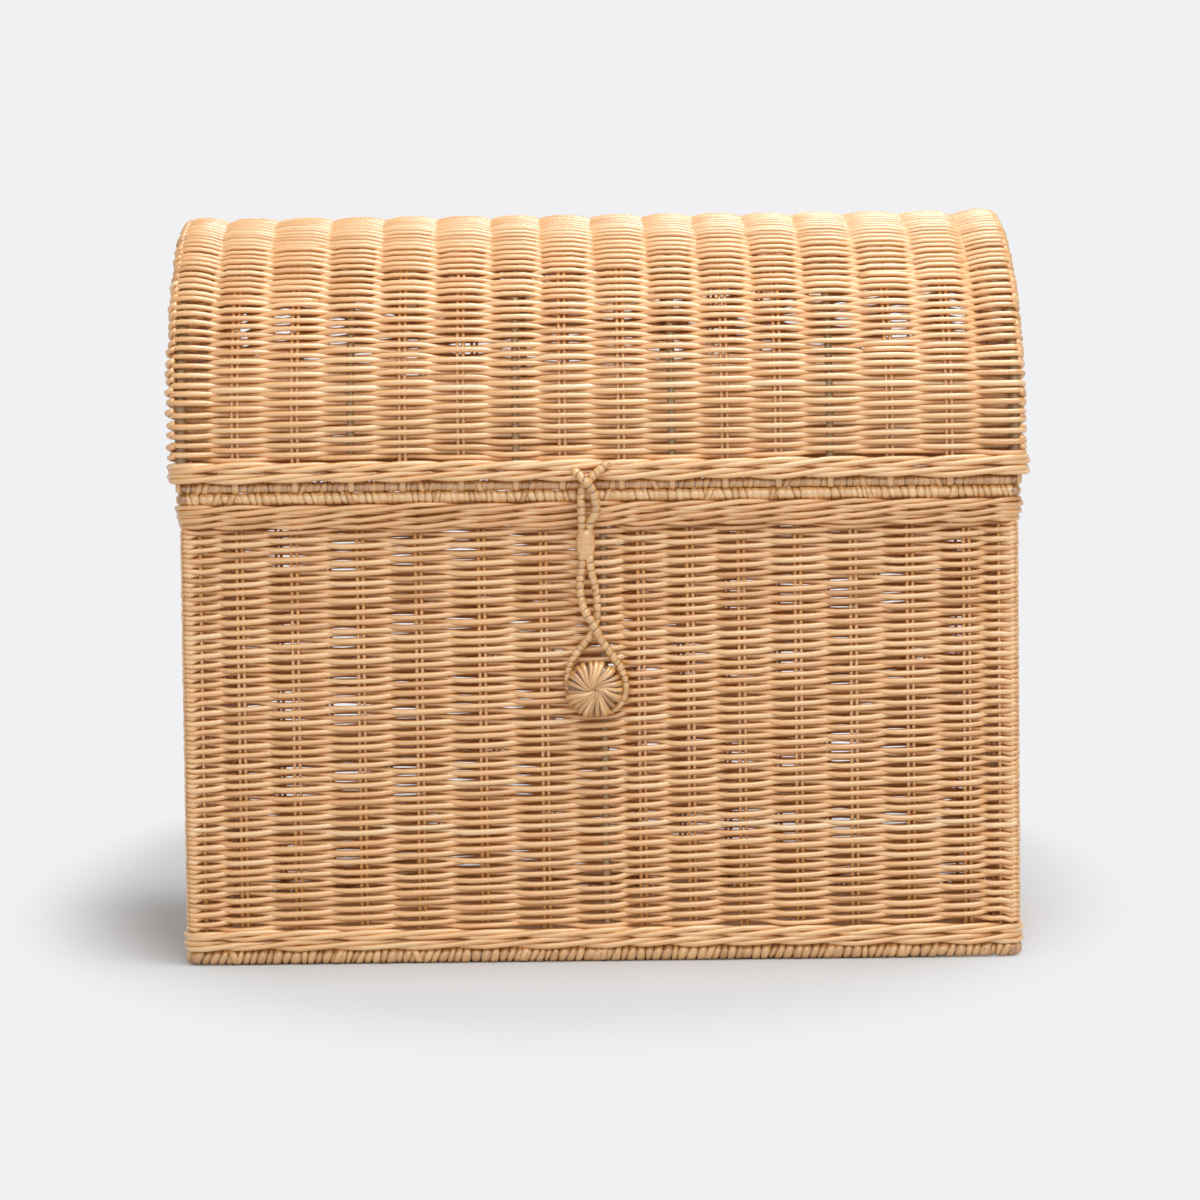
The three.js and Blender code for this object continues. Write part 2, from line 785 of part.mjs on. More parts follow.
const lid = new THREE.Group();
const lidNotches = hingeNotches(lidWaleFoot - cutOverrun, lidRailHeight + loopOuter + seatGap);
const archCutters = [-1, 1].map((sideX) => endArch(sideX, seatGap, cutOverrun));
const poleCutters = lidPoleShares.map((share) => domePole(share, seatGap, cutOverrun));
lid.add(named('lid_rail', ringRail(lidRailDiameter, lidRailHeight), materials.peel));
lid.add(named('lid_wale', lidWale([...archCutters, ...poleCutters, ...lidNotches]), materials.core));
lid.add(named('dome_panel', domePanel(), materials.core));
lid.add(named('lid_end_left', lidEnd(-1), materials.core));
lid.add(named('lid_end_right', lidEnd(1), materials.core));
lid.add(named('end_arch_left', endArch(-1, 0, 0), materials.pole));
lid.add(named('end_arch_right', endArch(1, 0, 0), materials.pole));
lidPoleShares.forEach((share, k) => {
  lid.add(named(`dome_pole_${k + 1}`, carved(domePole(share, 0, 0), lidNotches), materials.pole));
});
lid.add(named('hinge_loop_left', hingeLoop(hingeSides[0]), materials.peel));
lid.add(named('hinge_loop_right', hingeLoop(hingeSides[1]), materials.peel));

const closure = new THREE.Group();
closure.add(named('closure_cord', closureCord(), materials.peel));
closure.add(named('cord_keeper', cordKeeper(), materials.peel));
console.log(`closure cord: ${closureCurve().getLength().toFixed(0)} mm, least gap ${leastCordGap().toFixed(2)} mm`);

// The origin goes to the middle of the underside
const box = new THREE.Group();
box.add(chest, lid, closure);
const bounds = new THREE.Box3().setFromObject(box);
const middle = bounds.getCenter(new THREE.Vector3());
box.position.set(-middle.x, -middle.y, -bounds.min.z);

export default box;
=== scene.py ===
"""A woven trunk-shaped box: every strand of its weave, rails, hinges and closure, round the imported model.

Lengths are in metres, +Z is up and the front faces -Y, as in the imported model.
"""

import math

import bpy
import numpy as np
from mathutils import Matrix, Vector

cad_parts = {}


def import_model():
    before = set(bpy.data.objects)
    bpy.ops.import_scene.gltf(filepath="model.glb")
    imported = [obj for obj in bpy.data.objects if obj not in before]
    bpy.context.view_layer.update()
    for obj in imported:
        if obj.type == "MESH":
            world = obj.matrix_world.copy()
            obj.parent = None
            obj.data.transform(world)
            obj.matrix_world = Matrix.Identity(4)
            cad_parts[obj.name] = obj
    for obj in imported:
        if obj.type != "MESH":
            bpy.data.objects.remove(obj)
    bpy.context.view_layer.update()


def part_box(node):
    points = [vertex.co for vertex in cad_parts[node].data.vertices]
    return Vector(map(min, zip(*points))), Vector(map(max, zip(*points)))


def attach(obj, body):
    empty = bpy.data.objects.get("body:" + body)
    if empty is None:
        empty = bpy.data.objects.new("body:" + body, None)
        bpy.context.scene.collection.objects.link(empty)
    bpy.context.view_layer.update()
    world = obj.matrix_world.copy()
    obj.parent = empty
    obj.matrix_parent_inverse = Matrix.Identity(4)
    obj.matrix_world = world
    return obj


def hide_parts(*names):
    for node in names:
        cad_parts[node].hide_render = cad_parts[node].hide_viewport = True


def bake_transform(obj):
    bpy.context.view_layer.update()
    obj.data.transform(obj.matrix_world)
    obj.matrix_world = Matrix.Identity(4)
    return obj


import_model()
SEED = 11
random = np.random.default_rng(SEED)

# Strands, as diameters, and how far a weaver's centre stands off the stakes' line
CHEST_WEAVER = 0.0029
LID_WEAVER = 0.003
BASE_WEAVER = 0.0023
WEAVER_FLATNESS = 0.85
STAKE = 0.0019
STAKE_GAP = 0.0009
WALE_ROD = 0.003
UPPER_WALE_ROD = 0.0027
LID_WALE_ROD = 0.0031
CONTACT = 0.0018
BASE_CONTACT = 0.0019

# Unevenness: how far rows stray together and each alone, and the range of the strands' widths as shares
LOOSE_STRAY = (0.00045, 0.0002)
CALM_STRAY = (0.0003, 0.0001)
WALE_STRAY = 0.0003
CHEST_WIDTHS = (0.86, 1.11)
DOME_WIDTHS = (0.86, 1.1)
LID_END_WIDTHS = (0.9, 1.05)
KNOB_WIDTHS = (0.95, 1.2)
WALE_WIDTHS = (0.88, 1.08)
WIDTH_JITTER = 0.03
TONE_SPREAD = 0.16
CALM_TONE_SPREAD = 0.08
PEEL_TONE_SPREAD = 0.12

# Chest
POST_SIDE = 0.20485
POST_DEPTH = 0.1206
POST_RADIUS = 0.002
POST_INSET = 0.001
STAKE_SIDE = 0.20585
STAKE_DEPTH = 0.1216
WALL_FOOT = 0.0173
WALL_TOP = 0.2187
CHEST_ROWS = 84
BASE_ROW_PITCH = 0.0024
BASE_WEAVE_HEIGHT = 0.0044
BASE_WEAVE_GAP = 0.0012
CORNER_STAKE_STEP = 0.0055
POLE_RADIUS = 0.002
POLE_INSET = 0.0012

# Lid
ARCH_SIDE = 0.20785
ARCH_RADIUS = 0.003
ARCH_INSET = 0.002
LID_SIDE = 0.20985
LID_DEPTH = 0.1256
DOME_RISE = 0.1106
SPRING = 0.2645
DOME_FOOT = 0.2519
DOME_ROWS = 160
LID_ROW_PITCH = 0.00247
LID_END_CROWN_GAP = 0.004
LID_END_EDGE_GAP = 0.001
LID_END_STAKE_GAP = 0.004
STAKE_TAIL = 0.006
POLE_TAIL = 0.008
ARCH_KNOB_PITCH = 0.0053
LEFT_KNOB_REACH = 0.0064
RIGHT_KNOB_REACH = 0.004
ARCH_KNOB_RISE = 0.0042
ARCH_KNOB_SLANT = 0.0007
RIGHT_LEAN = 0.0032

# Rails, as radii, heights of their centres, and the pitch and groove of their peel's turns
RIM_SIDE = 0.208
RIM_DEPTH = 0.12375
BASE_RAIL_RADIUS = 0.0038
BASE_RAIL_HEIGHT = 0.0036
BASE_WRAP_PITCH = 0.0041
BASE_WRAP_GROOVE = 0.0015
RIM_RAIL_RADIUS = 0.00305
RIM_RAIL_HEIGHT = 0.2333
RIM_WRAP_PITCH = 0.0034
RIM_WRAP_GROOVE = 0.0006
LID_RAIL_RADIUS = 0.00255
LID_RAIL_HEIGHT = 0.2389
LID_WRAP_PITCH = 0.0033
LID_WRAP_GROOVE = 0.0003
CROSSING_STEP = 0.045
CROSSING_LIFT = 0.0001
CROSSING_FOOT = 0.0008
CORNER_RADIUS = 0.005

# Wales: the height of each one's foot, its pitch, its rods' reach beyond the stakes' line, and their climb
BASE_WALE_FOOT = 0.0073
BASE_WALE_PITCH = 0.0049
BASE_WALE_REACHES = (0.004, 0.004)
BASE_WALE_CLIMB = 0.0034
UPPER_WALE_FOOT = 0.219
UPPER_WALE_PITCH = 0.0037
UPPER_WALE_REACHES = (0.0034, 0.0044, 0.0052)
UPPER_WALE_REAR_REACH = 0.0026
LID_WALE_FOOT = 0.2416
LID_WALE_PITCH = 0.005
LID_WALE_REACHES = (0.0042, 0.0042)
WALE_CLIMB = 0.0036
WALE_BULGE = 0.0004
UPPER_WALE_TOP = UPPER_WALE_FOOT + len(UPPER_WALE_REACHES) * UPPER_WALE_PITCH

# Ends of the lid's stakes, as peel tongues tucked down over its rail
TONGUE_HALF_WIDTH = 0.0017
TONGUE_ROOT_DEPTH = 0.001
TONGUE_ROOT_RISE = 0.003
TONGUE_STANDOFF = 0.001
TONGUE_BEND = 0.0012
TONGUE_TUCK = 0.0015
TONGUE_FOOT = 0.0001

# Hinges
HINGE_SIDE = 0.095
HINGE_TURNS = 4
HINGE_TURN_PITCH = 0.0031
HINGE_TURN_SWAY = 0.0006
HINGE_INNER = 0.0034

# Button and closure
BUTTON_SIDE = -0.0035
BUTTON_HEIGHT = 0.137
BUTTON_RADIUS = 0.0143
BUTTON_BACK = -0.1291
BUTTON_THICKNESS = 0.008
BUTTON_WRAPS = 26
BUTTON_WRAP_INSET = 0.0009
BUTTON_WRAP_LAYER = 0.0008
BUTTON_WRAP_SIZES = (0.0004, 0.0009, 0.0015)
TIE_RADIUS = 0.001
TIE_SPREAD = 0.0009
TIE_TUCK = 0.0005
TIE_BACK = -0.1181
KNOT_BACK = -0.1169
KNOT_LAYER = 0.0002
KNOT_STRAND = 0.0009
KNOT_RADII = (0.0022, 0.0032, 0.0042)
KEEPER_SIDE = -0.0068
KEEPER_HEIGHT = 0.2092
KEEPER_STANDOFF = 0.0054
KEEPER_WIDTH = 0.0096
KEEPER_LENGTH = 0.0145
KEEPER_SQUASH = 0.62
KEEPER_SPREAD = 0.00185
KEEPER_SLANT = 0.0002
WALL_FACE = 0.125
CORD_RADIUS = 0.00195
CORD_WRAP_PITCH = 0.0034
CORD_GROOVE = 0.0003
CORD_GRAIN_RADIUS = 0.002

# Where the stakes stand, as shares of half the run between two corner posts
CHEST_STAKE_SHARES = (
    -0.877, -0.744, -0.584, -0.442, -0.288, -0.137, 0.009, 0.1, 0.22, 0.345, 0.483, 0.618, 0.756, 0.894,
)
CHEST_POLE = 0.009
LID_STAKE_SHARES = (
    -0.87, -0.727, -0.593, -0.469, -0.329, -0.198, -0.086, 0.055, 0.176, 0.303, 0.431, 0.555, 0.698, 0.841,
)
LID_POLES = (-0.593, -0.198, 0.176, 0.555)
SIDE_STAKE_SHARES = (-0.778, -0.556, -0.333, -0.111, 0.111, 0.333, 0.556, 0.778)

# How the keeper's width changes from its foot to its top, and the cord's along its route, as shares
KEEPER_PROFILE = (
    (-1.05, 0.48), (-1, 0.58), (-0.7, 0.76), (-0.35, 0.94), (-0.04, 1), (0, 0.98), (0.04, 1), (0.35, 0.97),
    (0.7, 0.86), (0.98, 0.76), (1.02, 0.64),
)
CORD_SWELL_SHARES = (
    (0, 1), (0.05, 1.15), (0.2, 1), (0.35, 1.12), (0.5, 0.95), (0.75, 1), (0.92, 1.2), (1, 1.1),
)

# The middle of the chest's plan, which the frame puts a little behind its origin
rim_low, rim_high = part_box("chest_rim_rail")
MIDDLE = (rim_low.y + rim_high.y) / 2


# Objects, colours and materials


def placed(name, data):
    """A new object in the scene."""
    made = bpy.data.objects.new(name, data)
    bpy.context.scene.collection.objects.link(made)
    return made


def paint(code):
    """A linear colour from a written one, such as 0xD6A876."""
    shares = [((code >> shift) & 255) / 255 for shift in (16, 8, 0)]
    linear = [s / 12.92 if s <= 0.04045 else ((s + 0.055) / 1.055) ** 2.4 for s in shares]
    return (*linear, 1)


def node(tree, kind, *sources, **settings):
    """A node with its settings, fed by the sources through its first inputs, in their order."""
    made = tree.nodes.new(kind)
    for name, value in settings.items():
        if hasattr(made, name):
            setattr(made, name, value)
        else:
            made.inputs[name].default_value = value
    for source, socket in zip(sources, made.inputs):
        tree.links.new(source, socket)
    return made


def scaled(tree, vector, scale):
    made = node(tree, "ShaderNodeVectorMath", vector, operation="MULTIPLY")
    made.inputs[1].default_value = scale
    return made.outputs["Vector"]


def noise(tree, vector, scale, detail):
    vector = scaled(tree, vector, scale)
    return node(tree, "ShaderNodeTexNoise", vector, Scale=1, Detail=detail).outputs["Fac"]


def weighted(tree, parts):
    """The sum of each output times its share."""
    total = None
    for output, share in parts:
        made = node(tree, "ShaderNodeMath", output, operation="MULTIPLY_ADD")
        made.inputs[1].default_value = share
        made.inputs[2].default_value = 0
        if total is not None:
            tree.links.new(total, made.inputs[2])
        total = made.outputs["Value"]
    return total


def ramp(tree, factor, stops):
    made = node(tree, "ShaderNodeValToRGB", factor)
    elements = made.color_ramp.elements
    while len(elements) < len(stops):
        elements.new(0.5)
    for element, (place, code) in zip(elements, stops):
        element.position = place
        element.color = paint(code)
    return made.outputs["Color"]


def seen_by(tree, *rays):
    """1 for these kinds of ray and 0 for all others."""
    path = node(tree, "ShaderNodeLightPath")
    total = path.outputs[rays[0]]
    for ray in rays[1:]:
        made = node(tree, "ShaderNodeMath", total, path.outputs[ray], operation="ADD", use_clamp=True)
        total = made.outputs["Value"]
    return total


# How fast each pattern changes along and round a strand, its share in the colour, how far along the patterns
# a strand may start, and the colours from dark to pale
FIBRE_SCALE = (45, 3.2, 3.2)
MOTTLE_SCALE = (22, 0.4, 0.4)
FLECK_SCALE = (420, 2.2, 2.2)
FIBRE_DETAIL = 4
SLOW_DETAIL = 2
TONE_SHARE = 0.42
MOTTLE_SHARE = 0.3
FIBRE_SHARE = 0.2
FLECK_SHARE = 0.08
GRAIN_REACH = 40
GLOSS_BELOW = 0.08
GLOSS_ABOVE = 0.12
GRAIN_STRENGTH = 0.35
LACQUER = 1.75
CORE_STOPS = ((0.05, 0x7A4818), (0.25, 0xCB8C46), (0.42, 0xECB06C), (0.58, 0xF3C183), (0.8, 0xF7DBAF))
PEEL_STOPS = ((0.05, 0x704A10), (0.25, 0xAE7739), (0.42, 0xD69F5C), (0.58, 0xEDB976), (0.8, 0xF8D29C))
POLE_STOPS = ((0.05, 0x54422A), (0.25, 0x7C6240), (0.42, 0x9A7C52), (0.58, 0xB29468), (0.8, 0xC4AA80))


def cane(name, stops, roughness, sheen, grain_depth):
    """Split rattan or cane: fibres along the strand, slow mottling and a tone of its own for each strand."""
    made = bpy.data.materials.new(name)
    made.use_nodes = True
    tree = made.node_tree
    shader = tree.nodes["Principled BSDF"]
    strand = node(tree, "ShaderNodeAttribute", attribute_name="strand").outputs["Vector"]
    tone = node(tree, "ShaderNodeAttribute", attribute_name="tone").outputs["Fac"]
    fibre = noise(tree, strand, FIBRE_SCALE, FIBRE_DETAIL)
    mottle = noise(tree, strand, MOTTLE_SCALE, SLOW_DETAIL)
    fleck = noise(tree, strand, FLECK_SCALE, SLOW_DETAIL)
    parts = ((tone, TONE_SHARE), (mottle, MOTTLE_SHARE), (fibre, FIBRE_SHARE), (fleck, FLECK_SHARE))
    tree.links.new(ramp(tree, weighted(tree, parts), stops), shader.inputs["Base Color"])
    dull = node(tree, "ShaderNodeMapRange", fibre)
    dull.inputs["To Min"].default_value = roughness - GLOSS_BELOW
    dull.inputs["To Max"].default_value = roughness + GLOSS_ABOVE
    tree.links.new(dull.outputs["Result"], shader.inputs["Roughness"])
    bump = node(tree, "ShaderNodeBump", Strength=GRAIN_STRENGTH, Distance=grain_depth)
    tree.links.new(fibre, bump.inputs["Height"])
    tree.links.new(bump.outputs["Normal"], shader.inputs["Normal"])
    shader.inputs["Specular IOR Level"].default_value = sheen
    shader.inputs["IOR"].default_value = LACQUER
    return made


CORE = cane("rattan_core", CORE_STOPS, roughness=0.28, sheen=1, grain_depth=0.0003)
PEEL = cane("rattan_peel", PEEL_STOPS, roughness=0.26, sheen=1, grain_depth=0.0002)
POLE = cane("cane_pole", POLE_STOPS, roughness=0.38, sheen=0.5, grain_depth=0.0002)


# Meshes of swept strands


class Skein:
    """Gathers swept strands and makes one mesh of them."""

    def __init__(self):
        self.places = []
        self.strands = []
        self.tones = []
        self.faces = {}
        self.count = 0

    def add(self, paths, up, radius, tone, sides=6, flat=1.0, closed=False):
        """Sweeps a section along each path. up gives the section's second direction, and flat is how far its
        other direction is squashed. radius and tone may be one number or one for each point."""
        paths = np.asarray(paths, float)
        if paths.ndim == 2:
            paths = paths[None]
        rows, points = paths.shape[:2]
        if closed:
            tangent = np.roll(paths, -1, 1) - np.roll(paths, 1, 1)
        else:
            tangent = np.gradient(paths, axis=1)
        tangent = unit(tangent)
        out = unit(np.cross(tangent, np.broadcast_to(up, paths.shape)))
        rise = np.cross(out, tangent)
        turn = 2 * np.pi * (np.arange(sides) + 0.5) / sides
        radius = np.broadcast_to(np.asarray(radius, float), (rows, points))[..., None, None]
        ring = out[:, :, None] * (np.cos(turn) * flat)[:, None] + rise[:, :, None] * np.sin(turn)[:, None]
        places = paths[:, :, None] + ring * radius
        step = np.linalg.norm(np.diff(paths, axis=1), axis=2)
        along = np.concatenate([np.zeros((rows, 1)), np.cumsum(step, axis=1)], axis=1)
        along = along + random.uniform(0, GRAIN_REACH, (rows, 1))
        strand = np.empty(places.shape)
        strand[..., 0] = along[..., None]
        strand[..., 1] = np.cos(turn)
        strand[..., 2] = np.sin(turn)
        tone = np.broadcast_to(np.asarray(tone, float), (rows, points))
        tones = np.repeat(tone[..., None], sides, axis=2)
        self.grid(places, strand, tones, closed)

    def grid(self, places, strand, tones, closed):
        """Adds grids of points, shaped rows, rings and sides, as closed tubes."""
        rows, points, sides = places.shape[:3]
        spans = points if closed else points - 1
        row = np.arange(rows)[:, None, None] * points * sides
        here = np.arange(spans)[None, :, None] * sides
        there = ((np.arange(spans) + 1) % points)[None, :, None] * sides
        side = np.arange(sides)[None, None]
        after = (side + 1) % sides
        corners = [here + side, there + side, there + after, here + after]
        quads = np.stack([row + corner for corner in corners], axis=-1)
        self._keep(4, quads.reshape(-1, 4) + self.count)
        if not closed:
            starts = row[:, 0] + side[0]
            ends = starts[:, ::-1] + (points - 1) * sides
            self._keep(sides, np.concatenate([starts, ends]) + self.count)
        self.places.append(places.reshape(-1, 3))
        self.strands.append(strand.reshape(-1, 3))
        self.tones.append(tones.reshape(-1))
        self.count += rows * points * sides

    def tube(self, grid, along, across, tone, closed=False):
        """Adds one tube from its grid of points, its coordinates in the patterns and a tone for each ring."""
        strand = np.zeros(grid.shape)
        strand[..., 0] = along
        strand[..., 1] = across
        tones = np.broadcast_to(tone[:, None], grid.shape[:2])
        self.grid(grid[None], strand[None], tones[None], closed)

    def _keep(self, corners, faces):
        self.faces.setdefault(corners, []).append(faces)

    def piece(self, name, material, body, slot, *nodes):
        mesh = bpy.data.meshes.new(name)
        places = np.concatenate(self.places)
        mesh.vertices.add(len(places))
        mesh.vertices.foreach_set("co", places.ravel())
        groups = [np.concatenate(faces) for faces in self.faces.values()]
        corners = np.concatenate([faces.ravel() for faces in groups])
        sizes = np.concatenate([np.full(len(faces), faces.shape[1]) for faces in groups])
        mesh.loops.add(len(corners))
        mesh.loops.foreach_set("vertex_index", corners)
        mesh.polygons.add(len(sizes))
        mesh.polygons.foreach_set("loop_start", np.concatenate([[0], np.cumsum(sizes)[:-1]]))
        mesh.update(calc_edges=True)
        mesh.validate()
        mesh.shade_smooth()
        mesh.attributes.new("strand", "FLOAT_VECTOR", "POINT").data.foreach_set(
            "vector", np.concatenate(self.strands).ravel()
        )
        mesh.attributes.new("tone", "FLOAT", "POINT").data.foreach_set("value", np.concatenate(self.tones))
        mesh.materials.append(material)
        made = placed(name, mesh)
        if body:
            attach(made, body)
        if nodes:
            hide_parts(*nodes)
        return made


def points(x, y, z):
    """Places from their three parts, each an array or one number for all."""
    return np.stack(np.broadcast_arrays(x, y, z), axis=-1)


def unit(vectors):
    return vectors / np.maximum(np.linalg.norm(vectors, axis=-1, keepdims=True), 1e-12)


def tones(rows, spread=TONE_SPREAD):
    """One tone for each strand, about 0.5."""
    return np.clip(random.normal(0.5, spread, (rows, 1)), 0, 1)


def calm_tone(shade):
    """A tone near its shade, for a stake or a pole."""
    return shade + random.normal(0, CALM_TONE_SPREAD)


def turn_tones(turns, shade):
    """One tone for each turn or bay of a strand, about its shade."""
    return np.clip(random.normal(shade, PEEL_TONE_SPREAD, turns), 0, 1)


# Weaving: a strand's course past the uprights, in bays that ease from one to the next

EASE_FROM = 0.17
EASE_TO = 0.83
FULL_BAY = 0.02
DRIFT_WINDOW = 9
DRIFT_MARGIN = 6


def half_cosine(share):
    return 0.5 - 0.5 * math.cos(math.pi * share)


def eased(share):
    """How far a strand has passed to the other side, when it is this share of the way along a bay."""
    return half_cosine(min(1, max(0, (share - EASE_FROM) / (EASE_TO - EASE_FROM))))


class Course:
    """Points along a strand from upright to upright: places, sides, and each upright's pull on each point."""

    def __init__(self, stations, sides, steps):
        self.along = []
        self.side = []
        self.lift = []
        self.pull = []
        last = len(stations) - 1
        for bay in range(last):
            width = stations[bay + 1] - stations[bay]
            count = max(2, round(steps * min(1, width / FULL_BAY)))
            for step in range(count + (bay == last - 1)):
                share = step / count
                ease = eased(share)
                self.along.append(stations[bay] + width * share)
                self.side.append(sides[bay] + (sides[bay + 1] - sides[bay]) * ease)
                turn = 0 if sides[bay] * sides[bay + 1] > 0 else np.sign(sides[bay])
                self.lift.append(turn * math.sin(math.pi * share))
                weights = np.zeros(len(stations))
                weights[bay] += 1 - ease
                weights[bay + 1] += ease
                self.pull.append(weights)
        self.along = np.array(self.along)
        self.side = np.array(self.side)
        self.lift = np.array(self.lift)
        self.pull = np.array(self.pull)


def wander(rows, stations, drift, jitter):
    """How far each row strays at each upright: neighbours drift together, and each row jitters a little."""
    shared = random.normal(0, 1, (rows + 2 * DRIFT_MARGIN, stations + 2))
    kernel = np.hanning(DRIFT_WINDOW)[1:-1]
    kernel = kernel / np.sqrt((kernel ** 2).sum())
    smooth = np.apply_along_axis(lambda column: np.convolve(column, kernel, "same"), 0, shared)
    smooth = (smooth[:, :-2] + 2 * smooth[:, 1:-1] + smooth[:, 2:]) / math.sqrt(6)
    return drift * smooth[DRIFT_MARGIN:-DRIFT_MARGIN] + random.normal(0, jitter, (rows, stations))


def alternating(stations, parity):
    """Outside and inside by turns along a wall, where odd rows start outside."""
    first = 1 if parity else -1
    return [first * (-1) ** k for k in range(len(stations))]


# How far a weaver bows at each upright and tilts between two, and how its rows fold round a corner post
SMILE = 0.00048
TILT = 0.0004
DOME_SMILE = 0.0002
DOME_TILT = 0.0001
CORNER_BEND = np.radians([135, 112])
CORNER_STRAY_SHARE = 0.4
WALL_SHADE = -0.08


def wall_weave(skein, centre, along, half, stations, steps, sides):
    """One chest wall: each row wraps both corner posts outside, and passes its stakes by turns."""
    reach = POST_RADIUS + CHEST_WEAVER / 2
    pitch = (WALL_TOP - WALL_FOOT) / CHEST_ROWS
    heights = WALL_FOOT + pitch * (np.arange(CHEST_ROWS) + 0.5)
    inner = [-half + CORNER_STAKE_STEP, *stations, half - CORNER_STAKE_STEP]
    places = [-half, *inner, half]
    strays = wander(CHEST_ROWS, len(places), *LOOSE_STRAY)
    strays[:, [0, -1]] *= CORNER_STRAY_SHARE
    outward = np.cross(along, (0, 0, 1))
    corner_along = reach * np.cos(CORNER_BEND) - half
    corner_out = reach * np.sin(CORNER_BEND) - POST_INSET
    straight = np.zeros(len(CORNER_BEND))
    for parity in (0, 1):
        rows = np.arange(parity, CHEST_ROWS, 2)
        post = (reach - POST_INSET) / CONTACT
        course = Course(places, [post, *alternating(inner, parity), post], steps)
        u = np.concatenate([corner_along, course.along, -corner_along[::-1]])
        v = np.concatenate([corner_out, course.side * CONTACT, corner_out[::-1]])
        smile = np.concatenate([straight, -course.side * SMILE + course.lift * TILT, straight])
        pull = np.vstack([course.pull[[0, 0]], course.pull, course.pull[[-1, -1]]])
        z = heights[rows][:, None] + strays[rows] @ pull.T + smile
        paths = centre + along * u[:, None] + outward * v[:, None] + np.array([0, 0, 1]) * z[..., None]
        size = CHEST_WEAVER / 2 * random.uniform(*CHEST_WIDTHS, (len(rows), 1))
        size = size * (1 + random.normal(0, WIDTH_JITTER, (len(rows), paths.shape[1])))
        skein.add(paths, (0, 0, 1), size, tones(len(rows)) + WALL_SHADE, sides, WEAVER_FLATNESS)


STAKE_SHADE = 0.4
STAKE_FOOT = BASE_RAIL_HEIGHT + 0.7 * BASE_RAIL_RADIUS


def stakes(skein, line, across, tone, hands=(-1, 1), bend=np.array):
    """Stakes along a line: two side by side, or the hands given."""
    for hand in hands:
        path = line + np.array(across) * hand * (STAKE + STAKE_GAP) / 2
        skein.add(bend(path), across, STAKE / 2, tone)


def chest_wall(side, along, reach, half, shares, steps, sides=6, pole=None):
    """One wall: its weave and stakes, reach out from the box's middle and half to each corner post."""
    skein = Skein()
    along = np.array(along)
    centre = np.cross(along, (0, 0, 1)) * reach + (0, MIDDLE, 0)
    stations = [share * half for share in shares]
    wall_weave(skein, centre, along, half, stations, steps, sides)
    line = centre + np.array([(0, 0, STAKE_FOOT), (0, 0, UPPER_WALE_TOP)])
    for place, share in zip(stations, shares):
        if share != pole:
            stakes(skein, line + along * place, along, calm_tone(STAKE_SHADE))
    for hand in (-1, 1):
        beside = along * hand * (half - CORNER_STAKE_STEP)
        stakes(skein, line + beside, along, calm_tone(STAKE_SHADE), hands=(0,))
    skein.piece(f"{side}_wall_weave", CORE, "chest", "rattan_core", f"{side}_wall")


def chest_walls():
    backward = [-share for share in reversed(CHEST_STAKE_SHARES)]
    front = ((1, 0, 0), STAKE_DEPTH, POST_SIDE, CHEST_STAKE_SHARES)
    rear = ((-1, 0, 0), STAKE_DEPTH, POST_SIDE, backward)
    left = ((0, -1, 0), STAKE_SIDE, POST_DEPTH, SIDE_STAKE_SHARES)
    right = ((0, 1, 0), STAKE_SIDE, POST_DEPTH, SIDE_STAKE_SHARES)
    chest_wall("front", *front, steps=7, pole=CHEST_POLE)
    chest_wall("rear", *rear, steps=4, sides=5, pole=-CHEST_POLE)
    chest_wall("left", *left, steps=4)
    chest_wall("right", *right, steps=4)


POLE_SHADE = 0.45
POLE_SWELL = 0.05
POLE_SWELL_PACE = 2.1
POLE_SIDES = 10
UPRIGHT_POINTS = 24


def pole_piece(name, path, radius, body):
    """A single cane pole: round, with a slight swelling at each node along it."""
    skein = Skein()
    swell = 1 + POLE_SWELL * np.sin(np.arange(len(path)) * POLE_SWELL_PACE)
    skein.add(path, (1, 0, 0), radius * swell, calm_tone(POLE_SHADE), POLE_SIDES)
    skein.piece(f"{name}_cane", POLE, body, "cane_pole", name)


def upright_line(x, y):
    return points(x, MIDDLE + y, np.linspace(BASE_WALE_FOOT, UPPER_WALE_TOP, UPRIGHT_POINTS))


def chest_poles():
    for face, y in (("front", -1), ("rear", 1)):
        for side, x in (("left", -1), ("right", 1)):
            line = upright_line(x * POST_SIDE, y * POST_DEPTH)
            pole_piece(f"corner_post_{face}_{side}", line, POST_RADIUS, "chest")
        line = upright_line(CHEST_POLE * POST_SIDE, y * (STAKE_DEPTH - POLE_INSET))
        pole_piece(f"{face}_pole", line, POLE_RADIUS, "chest")


# The lid's dome and arches, by distance over them from the front foot

# At two spots at each end short rows are wedged in, and the rows above and below part round them
WEDGES = ((-1, 0.085), (-1, 0.13), (1, 0.0535), (1, 0.1))
WEDGE_SHARES = (1, 0.8, 0.35)
WEDGE_RISE = 0.0038
WEDGE_DROP = 0.0012
WEDGE_RISE_FADE = 0.035
WEDGE_DROP_FADE = 0.015
SHORT_ROWS = 2
SHORT_ROW_TAILS = (0.005, 0.016)
ARCH_POINTS = 721
ARCH_BEND = np.radians([-70, -30, 12, 52])
TUCK_SIDE_SHARE = 0.5
TUCK_DEPTH_SHARE = 0.9
DOME_STEPS = 5
DOME_SHADE = -0.06
DOME_STAKE_SHADE = 0.3
DOME_STAKE_POINTS = 60
DOME_POLE_POINTS = 80


